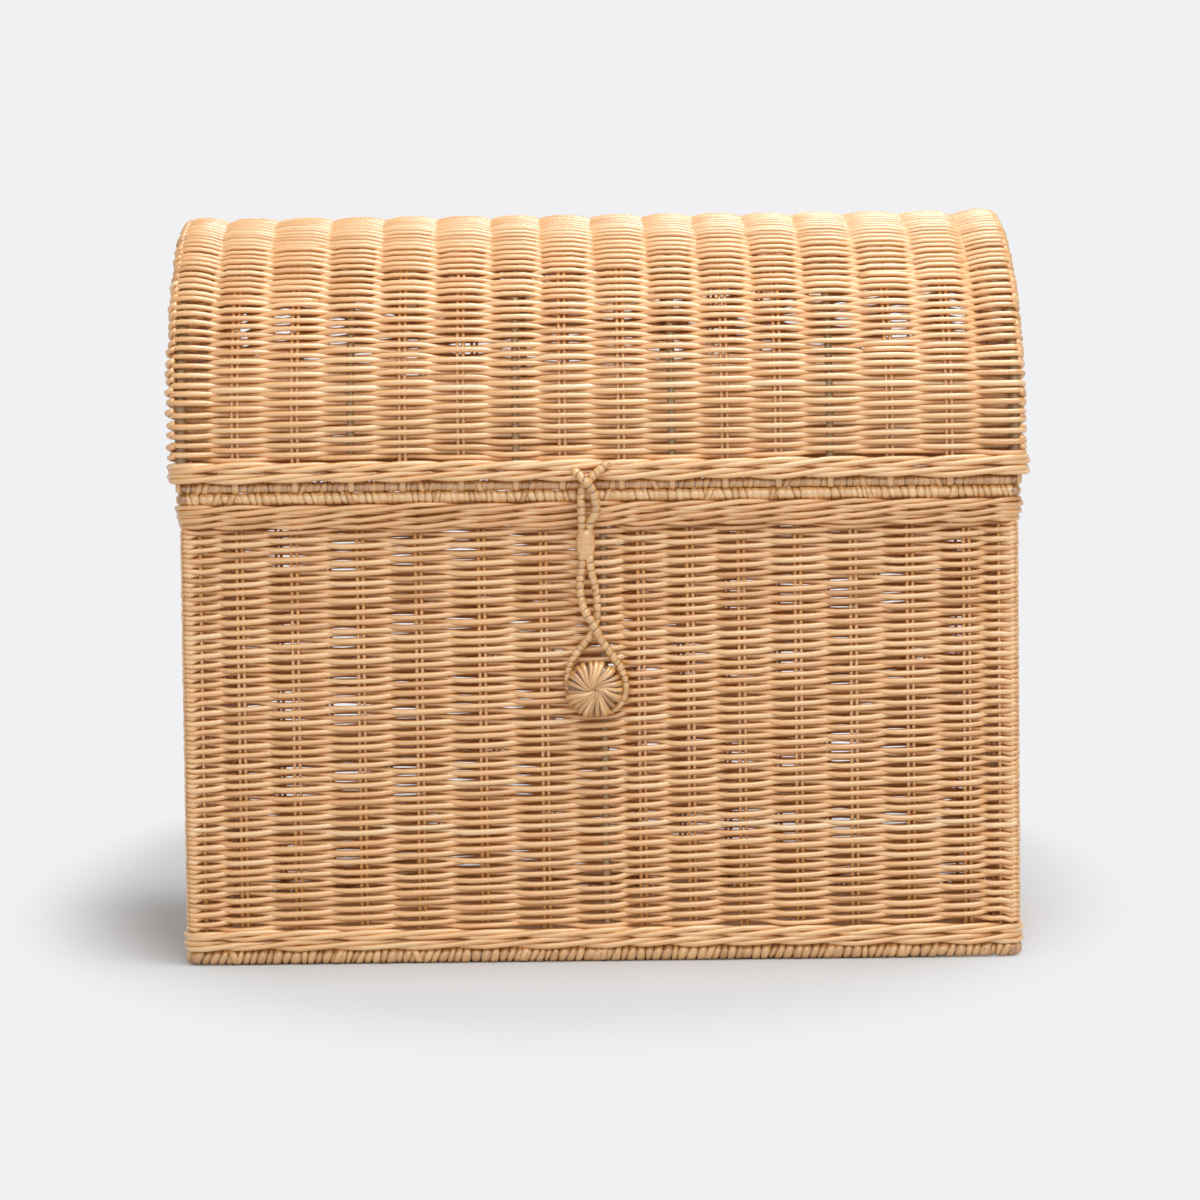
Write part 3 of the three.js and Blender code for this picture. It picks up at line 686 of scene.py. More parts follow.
def arch_table():
    turn = np.linspace(0, np.pi, ARCH_POINTS)
    y = -LID_DEPTH * np.cos(turn)
    z = SPRING + DOME_RISE * np.sin(turn)
    out = unit(np.stack([-DOME_RISE * np.cos(turn), LID_DEPTH * np.sin(turn)], axis=1))
    y = np.concatenate([[y[0]], y, [y[-1]]])
    z = np.concatenate([[DOME_FOOT], z, [DOME_FOOT]])
    out = np.concatenate([out[:1], out, out[-1:]])
    length = np.concatenate([[0], np.cumsum(np.hypot(np.diff(y), np.diff(z)))])
    return length, y, z, out


ARCH_LENGTH, ARCH_Y, ARCH_Z, ARCH_OUT = arch_table()


def on_arch(distance):
    """Places and outward directions over the arch, for any array of distances."""
    y = np.interp(distance, ARCH_LENGTH, ARCH_Y)
    z = np.interp(distance, ARCH_LENGTH, ARCH_Z)
    low = distance < 0
    high = distance > ARCH_LENGTH[-1]
    z = np.where(low, DOME_FOOT + distance, np.where(high, DOME_FOOT - distance + ARCH_LENGTH[-1], z))
    out_y = np.interp(distance, ARCH_LENGTH, ARCH_OUT[:, 0])
    out_z = np.interp(distance, ARCH_LENGTH, ARCH_OUT[:, 1])
    return points(0, y + MIDDLE, z), points(0, out_y, out_z)


ARCH_REACH = ARCH_RADIUS + LID_WEAVER / 2


def arch_end(outside, hand):
    """How a row ends at an arch: round it from outside and back in, or under it. Gives sides and lifts."""
    if outside:
        side = ARCH_SIDE + ARCH_REACH * np.cos(ARCH_BEND)
        lift = ARCH_REACH * np.sin(ARCH_BEND) - ARCH_INSET
    else:
        side = np.array([ARCH_SIDE + ARCH_REACH * TUCK_SIDE_SHARE])
        lift = np.array([-ARCH_REACH * TUCK_DEPTH_SHARE - ARCH_INSET])
    if hand > 0:
        side = side[::-1]
        lift = lift[::-1]
    return hand * side, lift


def leaned(paths):
    """Moves points to where they are on the real lid, whose right end leans in towards its crown."""
    near = np.clip(paths[..., 0] / ARCH_SIDE, 0, 1) ** 4
    rise = np.clip((paths[..., 2] - SPRING) / DOME_RISE, 0, 1) ** 2
    moved = paths.copy()
    moved[..., 0] -= RIGHT_LEAN * near * rise
    return moved


def dome_strays(starts, places):
    """How far the dome's rows stray. Where short rows were put in at an end, the others part round them."""
    strays = wander(len(starts), len(places), *LOOSE_STRAY)
    for hand, middle in WEDGES:
        away = starts - middle
        above = WEDGE_RISE * np.exp(-np.abs(away) / WEDGE_RISE_FADE)
        below = -WEDGE_DROP * np.exp(-np.abs(away) / WEDGE_DROP_FADE)
        spread = np.where(away > 0, above, below)
        for k, share in enumerate(WEDGE_SHARES):
            strays[:, k if hand < 0 else -1 - k] += spread * share
    return strays


def dome_rows(skein, places, starts, strays, parity, cut=None):
    """Rows over the dome that pass its uprights by turns. cut gives one end, and how far from the middle the
    rows that start there stop."""
    signs = alternating(places, parity)
    sides = list(signs)
    for end in (0, -1):
        sides[end] = (signs[end] * ARCH_REACH - ARCH_INSET) / CONTACT
    course = Course(places, sides, DOME_STEPS)
    left_side, left_lift = arch_end(signs[0] > 0, -1)
    right_side, right_lift = arch_end(signs[-1] > 0, 1)
    u = np.concatenate([left_side, course.along, right_side])
    v = np.concatenate([left_lift, course.side * CONTACT, right_lift])
    bow = -course.side * DOME_SMILE + course.lift * DOME_TILT
    bow = np.concatenate([0 * left_side, bow, 0 * right_side])
    first = np.zeros(len(left_side), int)
    last = np.full(len(right_side), -1)
    pull = np.vstack([course.pull[first], course.pull, course.pull[last]])
    s = starts[:, None] + strays @ pull.T + bow
    base, out = on_arch(s)
    paths = base + out * v[:, None]
    paths[..., 0] = u
    up = np.cross(out, (-1, 0, 0))
    size = LID_WEAVER / 2 * random.uniform(*DOME_WIDTHS, (len(starts), 1))
    size = size * (1 + random.normal(0, WIDTH_JITTER, s.shape))
    kept = np.ones(len(u), bool) if cut is None else cut[0] * u > cut[1]
    shades = tones(len(starts)) + DOME_SHADE
    skein.add(leaned(paths)[:, kept], up[:, kept], size[:, kept], shades, flat=WEAVER_FLATNESS)


def short_rows(skein, places, pitch):
    """Extra rows wedged in at the dome's ends, each from the arch to near the second upright."""
    for hand, middle in WEDGES:
        below = math.floor(middle / pitch - 0.5)
        second = abs(places[2 if hand < 0 else -3])
        for k in range(SHORT_ROWS):
            parity = (below + 1 + k) % 2
            outside = parity if hand < 0 else 1 - parity
            stop = second - SHORT_ROW_TAILS[outside]
            height = (WEDGE_RISE + WEDGE_DROP) * (k + 0.5) / SHORT_ROWS - WEDGE_DROP
            stray = np.zeros((1, len(places)))
            for j, share in enumerate(WEDGE_SHARES):
                stray[0, j if hand < 0 else -1 - j] = height * share
            dome_rows(skein, places, np.array([middle]), stray, parity, (hand, stop))


def dome_weave():
    skein = Skein()
    length = ARCH_LENGTH[-1]
    pitch = length / DOME_ROWS
    starts = pitch * (np.arange(DOME_ROWS) + 0.5)
    stations = [share * ARCH_SIDE for share in LID_STAKE_SHARES]
    places = [-ARCH_SIDE, *stations, ARCH_SIDE]
    strays = dome_strays(starts, places)
    for parity in (0, 1):
        dome_rows(skein, places, starts[parity::2], strays[parity::2], parity)
    short_rows(skein, places, pitch)
    base, _ = on_arch(np.linspace(-STAKE_TAIL, length + STAKE_TAIL, DOME_STAKE_POINTS))
    for place, share in zip(stations, LID_STAKE_SHARES):
        if share not in LID_POLES:
            stakes(skein, base + (place, 0, 0), (1, 0, 0), calm_tone(DOME_STAKE_SHADE), bend=leaned)
    skein.piece("dome_weave", CORE, "lid", "rattan_core", "dome_panel")


def lid_poles():
    base, out = on_arch(np.linspace(-POLE_TAIL, ARCH_LENGTH[-1] + POLE_TAIL, DOME_POLE_POINTS))
    for k, share in enumerate(LID_POLES):
        path = base - out * POLE_INSET + np.array([share * ARCH_SIDE, 0, 0])
        pole_piece(f"dome_pole_{k + 1}", leaned(path), POLE_RADIUS, "lid")
    for side, hand in (("left", -1), ("right", 1)):
        path = base - out * ARCH_INSET + np.array([hand * ARCH_SIDE, 0, 0])
        pole_piece(f"end_arch_{side}", leaned(path), ARCH_RADIUS, "lid")


KNOB_BEND = np.radians([-85, -50, -20, 8, 36, 62])
KNOB_REACHES = (0.86, 1.1)
KNOB_STEP_JITTER = 0.15
# The knobs' lower tone is painted shade, for the knobs at the arches' ends that sit in shadow.
KNOB_PAINTED_SHADE = -0.15


def arch_knobs(skein, hand):
    """The end panel's strands turn round the arch from outside, as a row of knobs along it."""
    count = int(ARCH_LENGTH[-1] / ARCH_KNOB_PITCH)
    reach = LEFT_KNOB_REACH if hand < 0 else RIGHT_KNOB_REACH
    for k in range(count):
        grow = random.uniform(*KNOB_REACHES)
        step = k + 0.5 + random.uniform(-KNOB_STEP_JITTER, KNOB_STEP_JITTER)
        base, out = on_arch(step * ARCH_LENGTH[-1] / count + ARCH_KNOB_SLANT * np.sin(KNOB_BEND))
        path = base + out * (ARCH_KNOB_RISE * np.sin(KNOB_BEND) - ARCH_INSET)[:, None]
        path[:, 0] = hand * (ARCH_SIDE + reach * grow * np.cos(KNOB_BEND))
        size = LID_WEAVER / 2 * random.uniform(*KNOB_WIDTHS)
        skein.add(leaned(path), np.cross(out, (-1, 0, 0)), size, tones(1) + KNOB_PAINTED_SHADE)


LID_END_FOLD = 0.6
LID_END_STEPS = 4


def lid_end(side, hand):
    """A flat end of the lid: level rows inside the arch, each cut to the arch's width at its height."""
    skein = Skein()
    stations = np.array([share * LID_DEPTH for share in SIDE_STAKE_SHARES])
    top = SPRING + DOME_RISE - LID_END_CROWN_GAP
    heights = np.arange(DOME_FOOT + LID_ROW_PITCH / 2, top, LID_ROW_PITCH)
    strays = wander(len(heights), len(stations) + 2, *CALM_STRAY)
    for row, height in enumerate(heights):
        share = max(0, (height - SPRING) / DOME_RISE)
        half = LID_DEPTH * math.sqrt(max(0, 1 - share * share)) - LID_END_EDGE_GAP
        inside = [k for k in range(len(stations)) if abs(stations[k]) < half - LID_END_STAKE_GAP]
        if not inside:
            continue
        signs = [(-1) ** (k + row) for k in inside]
        places = [-half, *stations[inside], half]
        sides = [-LID_END_FOLD * signs[0], *signs, -LID_END_FOLD * signs[-1]]
        course = Course(places, sides, LID_END_STEPS)
        stray = course.pull[:, 1:-1] @ strays[row][1:-1][inside]
        z = height + stray - course.side * SMILE + course.lift * TILT * hand
        x = hand * (LID_SIDE + course.side * CONTACT)
        path = points(x, MIDDLE + course.along, z)
        size = LID_WEAVER / 2 * random.uniform(*LID_END_WIDTHS)
        skein.add(leaned(path), (0, 0, 1), size, tones(1))
    for place in stations:
        crown = SPRING + DOME_RISE * math.sqrt(1 - (place / LID_DEPTH) ** 2) - LID_END_EDGE_GAP
        foot = (hand * LID_SIDE, MIDDLE + place, DOME_FOOT - STAKE_TAIL)
        head = leaned(np.array([hand * LID_SIDE, MIDDLE + place, crown]))
        stakes(skein, np.array([foot, head]), (0, 1, 0), calm_tone(STAKE_SHADE))
    arch_knobs(skein, hand)
    skein.piece(f"lid_end_{side}_weave", CORE, "lid", "rattan_core", f"lid_end_{side}")


# The chest's floor

BASE_STEPS = 3


def base_weave():
    skein = Skein()
    half = STAKE_SIDE - BASE_RAIL_RADIUS - BASE_WEAVE_GAP
    depth = STAKE_DEPTH - BASE_RAIL_RADIUS - BASE_WEAVE_GAP
    rows = int(2 * depth / BASE_ROW_PITCH)
    y = (np.arange(rows) - (rows - 1) / 2) * BASE_ROW_PITCH
    stations = [share * POST_SIDE for share in CHEST_STAKE_SHARES]
    strays = wander(rows, len(stations) + 2, *CALM_STRAY)
    for parity in (0, 1):
        picked = np.arange(parity, rows, 2)
        signs = alternating(stations, parity)
        course = Course([-half, *stations, half], [-signs[0], *signs, -signs[-1]], BASE_STEPS)
        depths = MIDDLE + y[picked][:, None] + strays[picked] @ course.pull.T
        paths = points(course.along, depths, BASE_WEAVE_HEIGHT + course.side * BASE_CONTACT)
        skein.add(paths, (0, 1, 0), BASE_WEAVER / 2, tones(len(picked)), sides=5)
    for place in stations:
        line = points(place, MIDDLE + np.array([-depth, depth]), BASE_WEAVE_HEIGHT)
        stakes(skein, line, (1, 0, 0), tone=0.5)
    skein.piece("base_panel_weave", CORE, "chest", "rattan_core", "base_panel")


# Rings round the box: a rounded rectangle by distance along it


class Ring:
    def __init__(self, side, depth, corner=CORNER_RADIUS):
        self.side = side - corner
        self.depth = depth - corner
        self.corner = corner
        bend = corner * math.pi / 2
        self.runs = [2 * self.side, bend, 2 * self.depth, bend] * 2
        self.starts = np.concatenate([[0], np.cumsum(self.runs)])
        self.length = self.starts[-1]

    def at(self, distance):
        """Places and outward directions from the front's left end, going right."""
        distance = np.mod(distance, self.length)
        run = np.clip(np.searchsorted(self.starts, distance, side="right") - 1, 0, len(self.runs) - 1)
        share = distance - self.starts[run]
        quarter = run // 2
        facing = quarter * np.pi / 2 - np.pi / 2
        turn = facing + np.where(run % 2 == 1, share / self.corner, 0)
        out = points(np.cos(turn), np.sin(turn), 0)
        span = np.where(quarter % 2 == 0, self.side, self.depth)
        other = np.where(quarter % 2 == 0, self.depth, self.side)
        along = np.where(run % 2 == 0, share - span, span)
        heading = points(-np.sin(facing), np.cos(facing), 0)
        straight = points(np.cos(facing), np.sin(facing), 0)
        centre = heading * along[..., None] + straight * other[..., None]
        return centre + out * self.corner + (0, MIDDLE, 0), out


# Peel bound round rails and strands

# A turn of peel is a few rings of points: where they lie along the turn, how far they stand out in grooves,
# and how dark they are where the joint before the turn stands open. A shut joint shows a little.
RAIL_TURN_RINGS = np.array([0.02, 0.13, 0.5, 0.88])
RAIL_TURN_PROFILE = np.array([-1, 0, 0.4, 0])
CORD_TURN_RINGS = np.array([0, 0.13, 0.5, 0.9])
CORD_TURN_PROFILE = np.array([-1, 0, 0.3, 0])
JOINT = np.array([1, 0, 0, 0])
SHUT_JOINT = 0.3
RAIL_TURN_WIDTHS = (0.7, 1.3)
CORD_TURN_WIDTHS = (0.75, 1.3)
RAIL_SIZE_SPREAD = 0.2
RAIL_SLANT_SPREAD = 0.12
RAIL_JOINT_SHADE = 1
RAIL_SIDES = 8
PEEL_FLATNESS = 0.3


def peel_turns(length, turns, widths, rings, open_share):
    """Turns of peel, uneven in width: their edges, each ring's place, and how open the joint before it is."""
    wide = random.uniform(*widths, turns)
    edges = np.concatenate([[0], np.cumsum(wide)]) * length / wide.sum()
    along = (edges[:-1, None] + np.diff(edges)[:, None] * rings).ravel()
    opening = np.repeat(np.where(random.random(turns) < open_share, 1, SHUT_JOINT), len(rings))
    return edges, along, opening


def bound(skein, grid, round_it, rings, opening, shade, joint_shade, closed):
    """Adds a tube bound with peel. Each turn has its own start in the patterns and its own tone."""
    turns = len(grid) // len(rings)
    start = np.repeat(random.uniform(0, GRAIN_REACH, turns), len(rings))[:, None]
    joints = joint_shade * np.tile(JOINT, turns) * opening
    tone = np.repeat(turn_tones(turns, shade), len(rings)) - joints
    skein.tube(grid, round_it + start, np.tile(rings, turns)[:, None], tone, closed)


def rail(name, body, ring, height, radius, pitch, groove, slant, open_share, shade):
    """A long cane bent round the box and bound with peel. open_share is how many of the joints between turns
    stand open, and shade is the peel's tone. On the lid rail the tone is lowered as painted shade, for the
    shadow under the lid wale."""
    skein = Skein()
    turns = int(ring.length / pitch)
    lay = (ring.length, turns, RAIL_TURN_WIDTHS, RAIL_TURN_RINGS, open_share)
    edges, along, opening = peel_turns(*lay)
    size = radius + groove * np.tile(RAIL_TURN_PROFILE, turns) * opening
    size = size + np.repeat(random.normal(0, groove * RAIL_SIZE_SPREAD, turns), len(RAIL_TURN_RINGS))
    slants = slant + random.normal(0, RAIL_SLANT_SPREAD, turns)
    lean = np.interp(along, edges[:-1], slants, period=ring.length)
    turn = 2 * np.pi * (np.arange(RAIL_SIDES) + 0.5) / RAIL_SIDES
    place, out = ring.at(along[:, None] + lean[:, None] * radius * np.sin(turn))
    grid = place + out * (size[:, None] * np.cos(turn))[..., None]
    grid[..., 2] = np.maximum(grid[..., 2] + height + size[:, None] * np.sin(turn), 0)
    bound(skein, grid, turn * radius, RAIL_TURN_RINGS, opening, shade, RAIL_JOINT_SHADE, True)
    crossing_turns(skein, ring, height, radius, pitch)
    skein.piece(f"{name}_wraps", PEEL, body, "rattan_peel", name)
    rail_ends(name, body, ring, height, radius)


CROSSING_ARC = 3
CROSSING_POINTS = 8
CROSSING_LEANS = (0.5, 1.1)
CROSSING_WIDTH_SHARE = 0.46


def crossing_turns(skein, ring, height, radius, pitch):
    """Odd turns of peel that cross the others on a rail's outside."""
    turn = np.linspace(-CROSSING_ARC / 2, CROSSING_ARC / 2, CROSSING_POINTS)
    size = radius + CROSSING_LIFT
    for start in np.arange(0, ring.length, CROSSING_STEP) + random.uniform(0, CROSSING_STEP / 2):
        lean = random.choice([-1, 1]) * random.uniform(*CROSSING_LEANS) * pitch
        place, out = ring.at(start + random.uniform(0, CROSSING_STEP / 2) + lean * turn / CROSSING_ARC)
        path = place + out * (size * np.cos(turn))[:, None]
        path[:, 2] = np.maximum(height + size * np.sin(turn), CROSSING_FOOT)
        tangent = unit(np.gradient(path, axis=0))
        facing = unit(out * np.cos(turn)[:, None] + np.array([0, 0, 1]) * np.sin(turn)[:, None])
        up = np.cross(facing, tangent)
        skein.add(path, up, pitch * CROSSING_WIDTH_SHARE, tones(1), flat=PEEL_FLATNESS)


RAIL_END_STEPS = np.array([-0.0035, -0.0002, 0.0009, 0.0015])
RAIL_END_SHARES = np.array([0.88, 0.88, 0.78, 0.4])
RAIL_END_SHADE = -0.1


def rail_ends(name, body, ring, height, radius):
    """The bare ends of a rail's long canes, which show at the box's corners."""
    skein = Skein()
    for x in (-1, 1):
        for y in (-1, 1):
            inner = np.array([x * (ring.side + ring.corner), MIDDLE + y * (ring.depth + ring.corner), height])
            line = inner + np.array([x, 0, 0]) * RAIL_END_STEPS[:, None]
            skein.add(line, (0, 0, 1), radius * RAIL_END_SHARES, RAIL_END_SHADE, sides=10)
    skein.piece(f"{name}_cane_ends", PEEL, body, "rattan_peel")


def ring_uprights(ring, half, shares, depth, side_shares):
    """Distances along a ring at which its uprights stand, corner posts among them."""
    front = [ring.side + share * half for share in shares]
    right = [ring.starts[2] + ring.depth + share * depth for share in side_shares]
    rear = [ring.starts[4] + ring.side - share * half for share in reversed(shares)]
    left = [ring.starts[6] + ring.depth + share * depth for share in side_shares]
    posts = [ring.starts[k] + (ring.starts[k + 1] - ring.starts[k]) / 2 for k in (1, 3, 5, 7)]
    return np.array([*front, posts[0], *right, posts[1], *rear, posts[2], *left, posts[3]])


WALE_STEPS = 5
WALE_SHADE = 0.55
# The upper wale's darker tone is painted shade, for the shadow under the rim and lid above it.
UPPER_WALE_PAINTED_SHADE = 0.3


def twined(phase, share, reach):
    """How far out and up a twined rod is between two uprights. It comes out, then passes outside, rising, and
    then goes in and falls."""
    ease = half_cosine(share)
    if phase == 0:
        return (reach + CONTACT) * ease - CONTACT, -0.5 * ease
    if phase == 1:
        return reach + WALE_BULGE * math.sin(math.pi * share), -0.5 + ease * 0.3 + share * 0.5
    return reach - (reach + CONTACT) * ease, 0.3 + 0.2 * ease - 0.5 * ease * ease


def wale(name, body, ring, uprights, foot, pitch, reaches, rod, climb, shade=WALE_SHADE, rear_reach=math.inf):
    """Rows of three rods twined round the uprights. reaches gives how far each row's rods stand out from the
    stakes' line, and rear_reach the most at the back."""
    skein = Skein()
    count = len(uprights)
    gaps = np.diff(np.append(uprights, uprights[0] + ring.length))
    shares = np.arange(WALE_STEPS) / WALE_STEPS
    distance = (uprights[:, None] + gaps[:, None] * shares).ravel()
    place, outward = ring.at(distance)
    back = np.clip(outward[:, 1], 0, 1)
    for row, reach in enumerate(reaches):
        for first in range(3):
            course = [twined((k + first + row) % 3, share, reach) for k in range(count) for share in shares]
            out, rise = np.array(course).T
            out = out + (np.minimum(out, rear_reach) - out) * back
            stray = np.interp(distance, uprights, random.normal(0, WALE_STRAY, count), period=ring.length)
            path = place + outward * out[:, None]
            path[:, 2] = foot + (row + 0.5) * pitch + rise * climb + stray
            tone = np.repeat(turn_tones(count, shade), WALE_STEPS)
            size = rod / 2 * random.uniform(*WALE_WIDTHS, count)
            size = np.interp(np.arange(count * WALE_STEPS) / WALE_STEPS, np.arange(count), size)
            skein.add(path, (0, 0, 1), size, tone, closed=True)
    skein.piece(f"{name}_strands", CORE, body, "rattan_core", name)


def tongues(ring, uprights):
    """The ends of the lid's stakes, tucked down over its rail."""
    skein = Skein()
    face = RIM_DEPTH + LID_RAIL_RADIUS - LID_DEPTH + TONGUE_STANDOFF
    course = (
        (TONGUE_ROOT_DEPTH, LID_WALE_FOOT + TONGUE_ROOT_RISE),
        (face, LID_RAIL_HEIGHT + TONGUE_BEND),
        (face, LID_RAIL_HEIGHT - TONGUE_BEND),
        (face - TONGUE_TUCK, LID_RAIL_HEIGHT - LID_RAIL_RADIUS + TONGUE_FOOT),
    )
    for place, out in zip(*ring.at(uprights)):
        path = [place + out * reach + (0, 0, height) for reach, height in course]
        across = np.cross(out, (0, 0, 1))
        skein.add(path, across, TONGUE_HALF_WIDTH, tone=0.5, sides=8, flat=PEEL_FLATNESS)
    skein.piece("lid_stake_ends", PEEL, "lid", "rattan_peel")


def chest_rings():
    line = Ring(STAKE_SIDE, STAKE_DEPTH)
    rim = Ring(RIM_SIDE, RIM_DEPTH)
    uprights = ring_uprights(line, POST_SIDE, CHEST_STAKE_SHARES, POST_DEPTH, SIDE_STAKE_SHARES)
    rows = (BASE_WALE_FOOT, BASE_WALE_PITCH, BASE_WALE_REACHES, WALE_ROD, BASE_WALE_CLIMB)
    wale("base_wale", "chest", line, uprights, *rows)
    rows = (UPPER_WALE_FOOT, UPPER_WALE_PITCH, UPPER_WALE_REACHES, UPPER_WALE_ROD, WALE_CLIMB)
    wale("upper_wale", "chest", line, uprights, *rows, UPPER_WALE_PAINTED_SHADE, UPPER_WALE_REAR_REACH)
    core = (line, BASE_RAIL_HEIGHT, BASE_RAIL_RADIUS, BASE_WRAP_PITCH, BASE_WRAP_GROOVE)
    rail("base_rail", "chest", *core, slant=0.25, open_share=0.9, shade=0.48)
    core = (rim, RIM_RAIL_HEIGHT, RIM_RAIL_RADIUS, RIM_WRAP_PITCH, RIM_WRAP_GROOVE)
    rail("chest_rim_rail", "chest", *core, slant=-0.2, open_share=0.62, shade=0.74)


def lid_rings():
    line = Ring(LID_SIDE, LID_DEPTH)
    rim = Ring(RIM_SIDE, RIM_DEPTH)
    uprights = ring_uprights(line, ARCH_SIDE, LID_STAKE_SHARES, LID_DEPTH, SIDE_STAKE_SHARES)
    rows = (LID_WALE_FOOT, LID_WALE_PITCH, LID_WALE_REACHES, LID_WALE_ROD, WALE_CLIMB)
    wale("lid_wale", "lid", line, uprights, *rows)
    core = (rim, LID_RAIL_HEIGHT, LID_RAIL_RADIUS, LID_WRAP_PITCH, LID_WRAP_GROOVE)
    # The lid rail's low shade is painted shade: its peel is darkened for the shadow under the lid wale's
    # overhang.
    rail("lid_rail", "lid", *core, slant=0.1, open_share=0.3, shade=0.27)
    tongues(line, uprights)


# Hinges: turns of peel round both rear rails

HINGE_POINTS = 9
HINGE_OVERLAP = 1.02
HINGE_FLATNESS = 0.32


def hinge_loops():
    turn = np.linspace(np.pi, 2 * np.pi, HINGE_POINTS)
    low = np.stack([np.cos(turn), np.sin(turn)], axis=1) * HINGE_INNER
    high = np.stack([np.cos(turn - np.pi), np.sin(turn - np.pi)], axis=1) * HINGE_INNER
    loop = np.concatenate([low, high + (0, LID_RAIL_HEIGHT - RIM_RAIL_HEIGHT)])
    sway = HINGE_TURN_SWAY * np.sin(np.linspace(0, 2 * np.pi, len(loop)))
    for side, hand in (("left", -1), ("right", 1)):
        skein = Skein()
        for k in range(HINGE_TURNS):
            x = hand * HINGE_SIDE + (k - (HINGE_TURNS - 1) / 2) * HINGE_TURN_PITCH
            path = points(x + sway, MIDDLE + RIM_DEPTH + loop[:, 0], RIM_RAIL_HEIGHT + loop[:, 1])
            wide = HINGE_TURN_PITCH / 2 * HINGE_OVERLAP
            skein.add(path, (1, 0, 0), wide, tones(1), sides=8, flat=HINGE_FLATNESS, closed=True)
        skein.piece(f"hinge_loop_{side}_turns", PEEL, "lid", "rattan_peel", f"hinge_loop_{side}")


# Button: peel laid over a round core from its middle to its rim, each turn swirling past the middle

BUTTON_CORE_DEPTHS = (0.05, 0.2, 0.55, 0.75)
BUTTON_CORE_SHARES = np.array([0.6, 0.88, 0.84, 0.45])
# The core is a real part, but its near-black tone is painted shade, for the shade in the gaps between the
# wraps.
BUTTON_CORE_PAINTED_SHADE = -0.6
BUTTON_WRAP_SHARES = np.array([0.02, 0.12, 0.26, 0.42, 0.6, 0.78, 0.9, 0.975, 1, 0.96, 0.82, 0.4])
BUTTON_WRAP_DEPTHS = np.array([0.7, 0.82, 0.9, 0.94, 0.9, 0.8, 0.66, 0.46, 0.3, 0.14, 0.06, 0.06])
BUTTON_WRAP_JITTER = 0.4
BUTTON_WIDTHS = (0.74, 1.1)
BUTTON_TONE_SPREAD = 0.3
BUTTON_SHADE = -0.2
BUTTON_SWIRL = 0.9
BUTTON_FLATNESS = 0.8
KNOT_POINTS = 16


def button_head():
    skein = Skein()
    centre = np.array([BUTTON_SIDE, MIDDLE + BUTTON_BACK, BUTTON_HEIGHT])
    core = [centre + (0, -share * BUTTON_THICKNESS, 0) for share in BUTTON_CORE_DEPTHS]
    skein.add(core, (0, 0, 1), BUTTON_RADIUS * BUTTON_CORE_SHARES, BUTTON_CORE_PAINTED_SHADE, sides=24)
    shares = BUTTON_WRAP_SHARES
    for k in range(BUTTON_WRAPS):
        angle = 2 * math.pi * (k + random.uniform(-BUTTON_WRAP_JITTER, BUTTON_WRAP_JITTER)) / BUTTON_WRAPS
        turn = angle + BUTTON_SWIRL * (1 - shares) ** 3
        out = shares * (BUTTON_RADIUS - BUTTON_WRAP_INSET)
        wide = np.interp(shares, [0, 0.35, 1], BUTTON_WRAP_SIZES) * random.uniform(*BUTTON_WIDTHS)
        layer = np.interp(shares, [0, 0.7], [BUTTON_WRAP_LAYER, 0]) * (k % 3) / 2
        deep = BUTTON_WRAP_DEPTHS * BUTTON_THICKNESS - BUTTON_WRAP_INSET + layer
        path = points(out * np.cos(turn), -deep, out * np.sin(turn))
        facing = points(-np.sin(turn), 0, np.cos(turn))
        shade = tones(1, BUTTON_TONE_SPREAD) + BUTTON_SHADE
        skein.add(centre + path, facing, wide, shade, sides=8, flat=BUTTON_FLATNESS)
    skein.piece("button_wraps", PEEL, "chest", "rattan_peel", "button_head")


def button_tie():
    """Two strands of peel through the front wall, and the knot that holds them inside."""
    skein = Skein()
    ends = (MIDDLE + BUTTON_BACK + TIE_TUCK, MIDDLE + TIE_BACK)
    for hand in (-1, 1):
        line = [(BUTTON_SIDE + hand * TIE_SPREAD, y, BUTTON_HEIGHT) for y in ends]
        skein.add(line, (0, 0, 1), TIE_RADIUS, tone=0.4, sides=8)
    turn = np.linspace(0, 2 * np.pi, KNOT_POINTS, endpoint=False)
    for k, size in enumerate(KNOT_RADII):
        loop = points(size * np.cos(turn), KNOT_BACK - KNOT_LAYER * k, size * np.sin(turn))
        loop = loop + (BUTTON_SIDE, MIDDLE, BUTTON_HEIGHT)
        skein.add(loop, (0, 1, 0), KNOT_STRAND, tone=0.45, sides=8, closed=True)
    skein.piece("button_tie", PEEL, "chest", "rattan_peel", "button_shank")


# Closure: the cord and its keeper

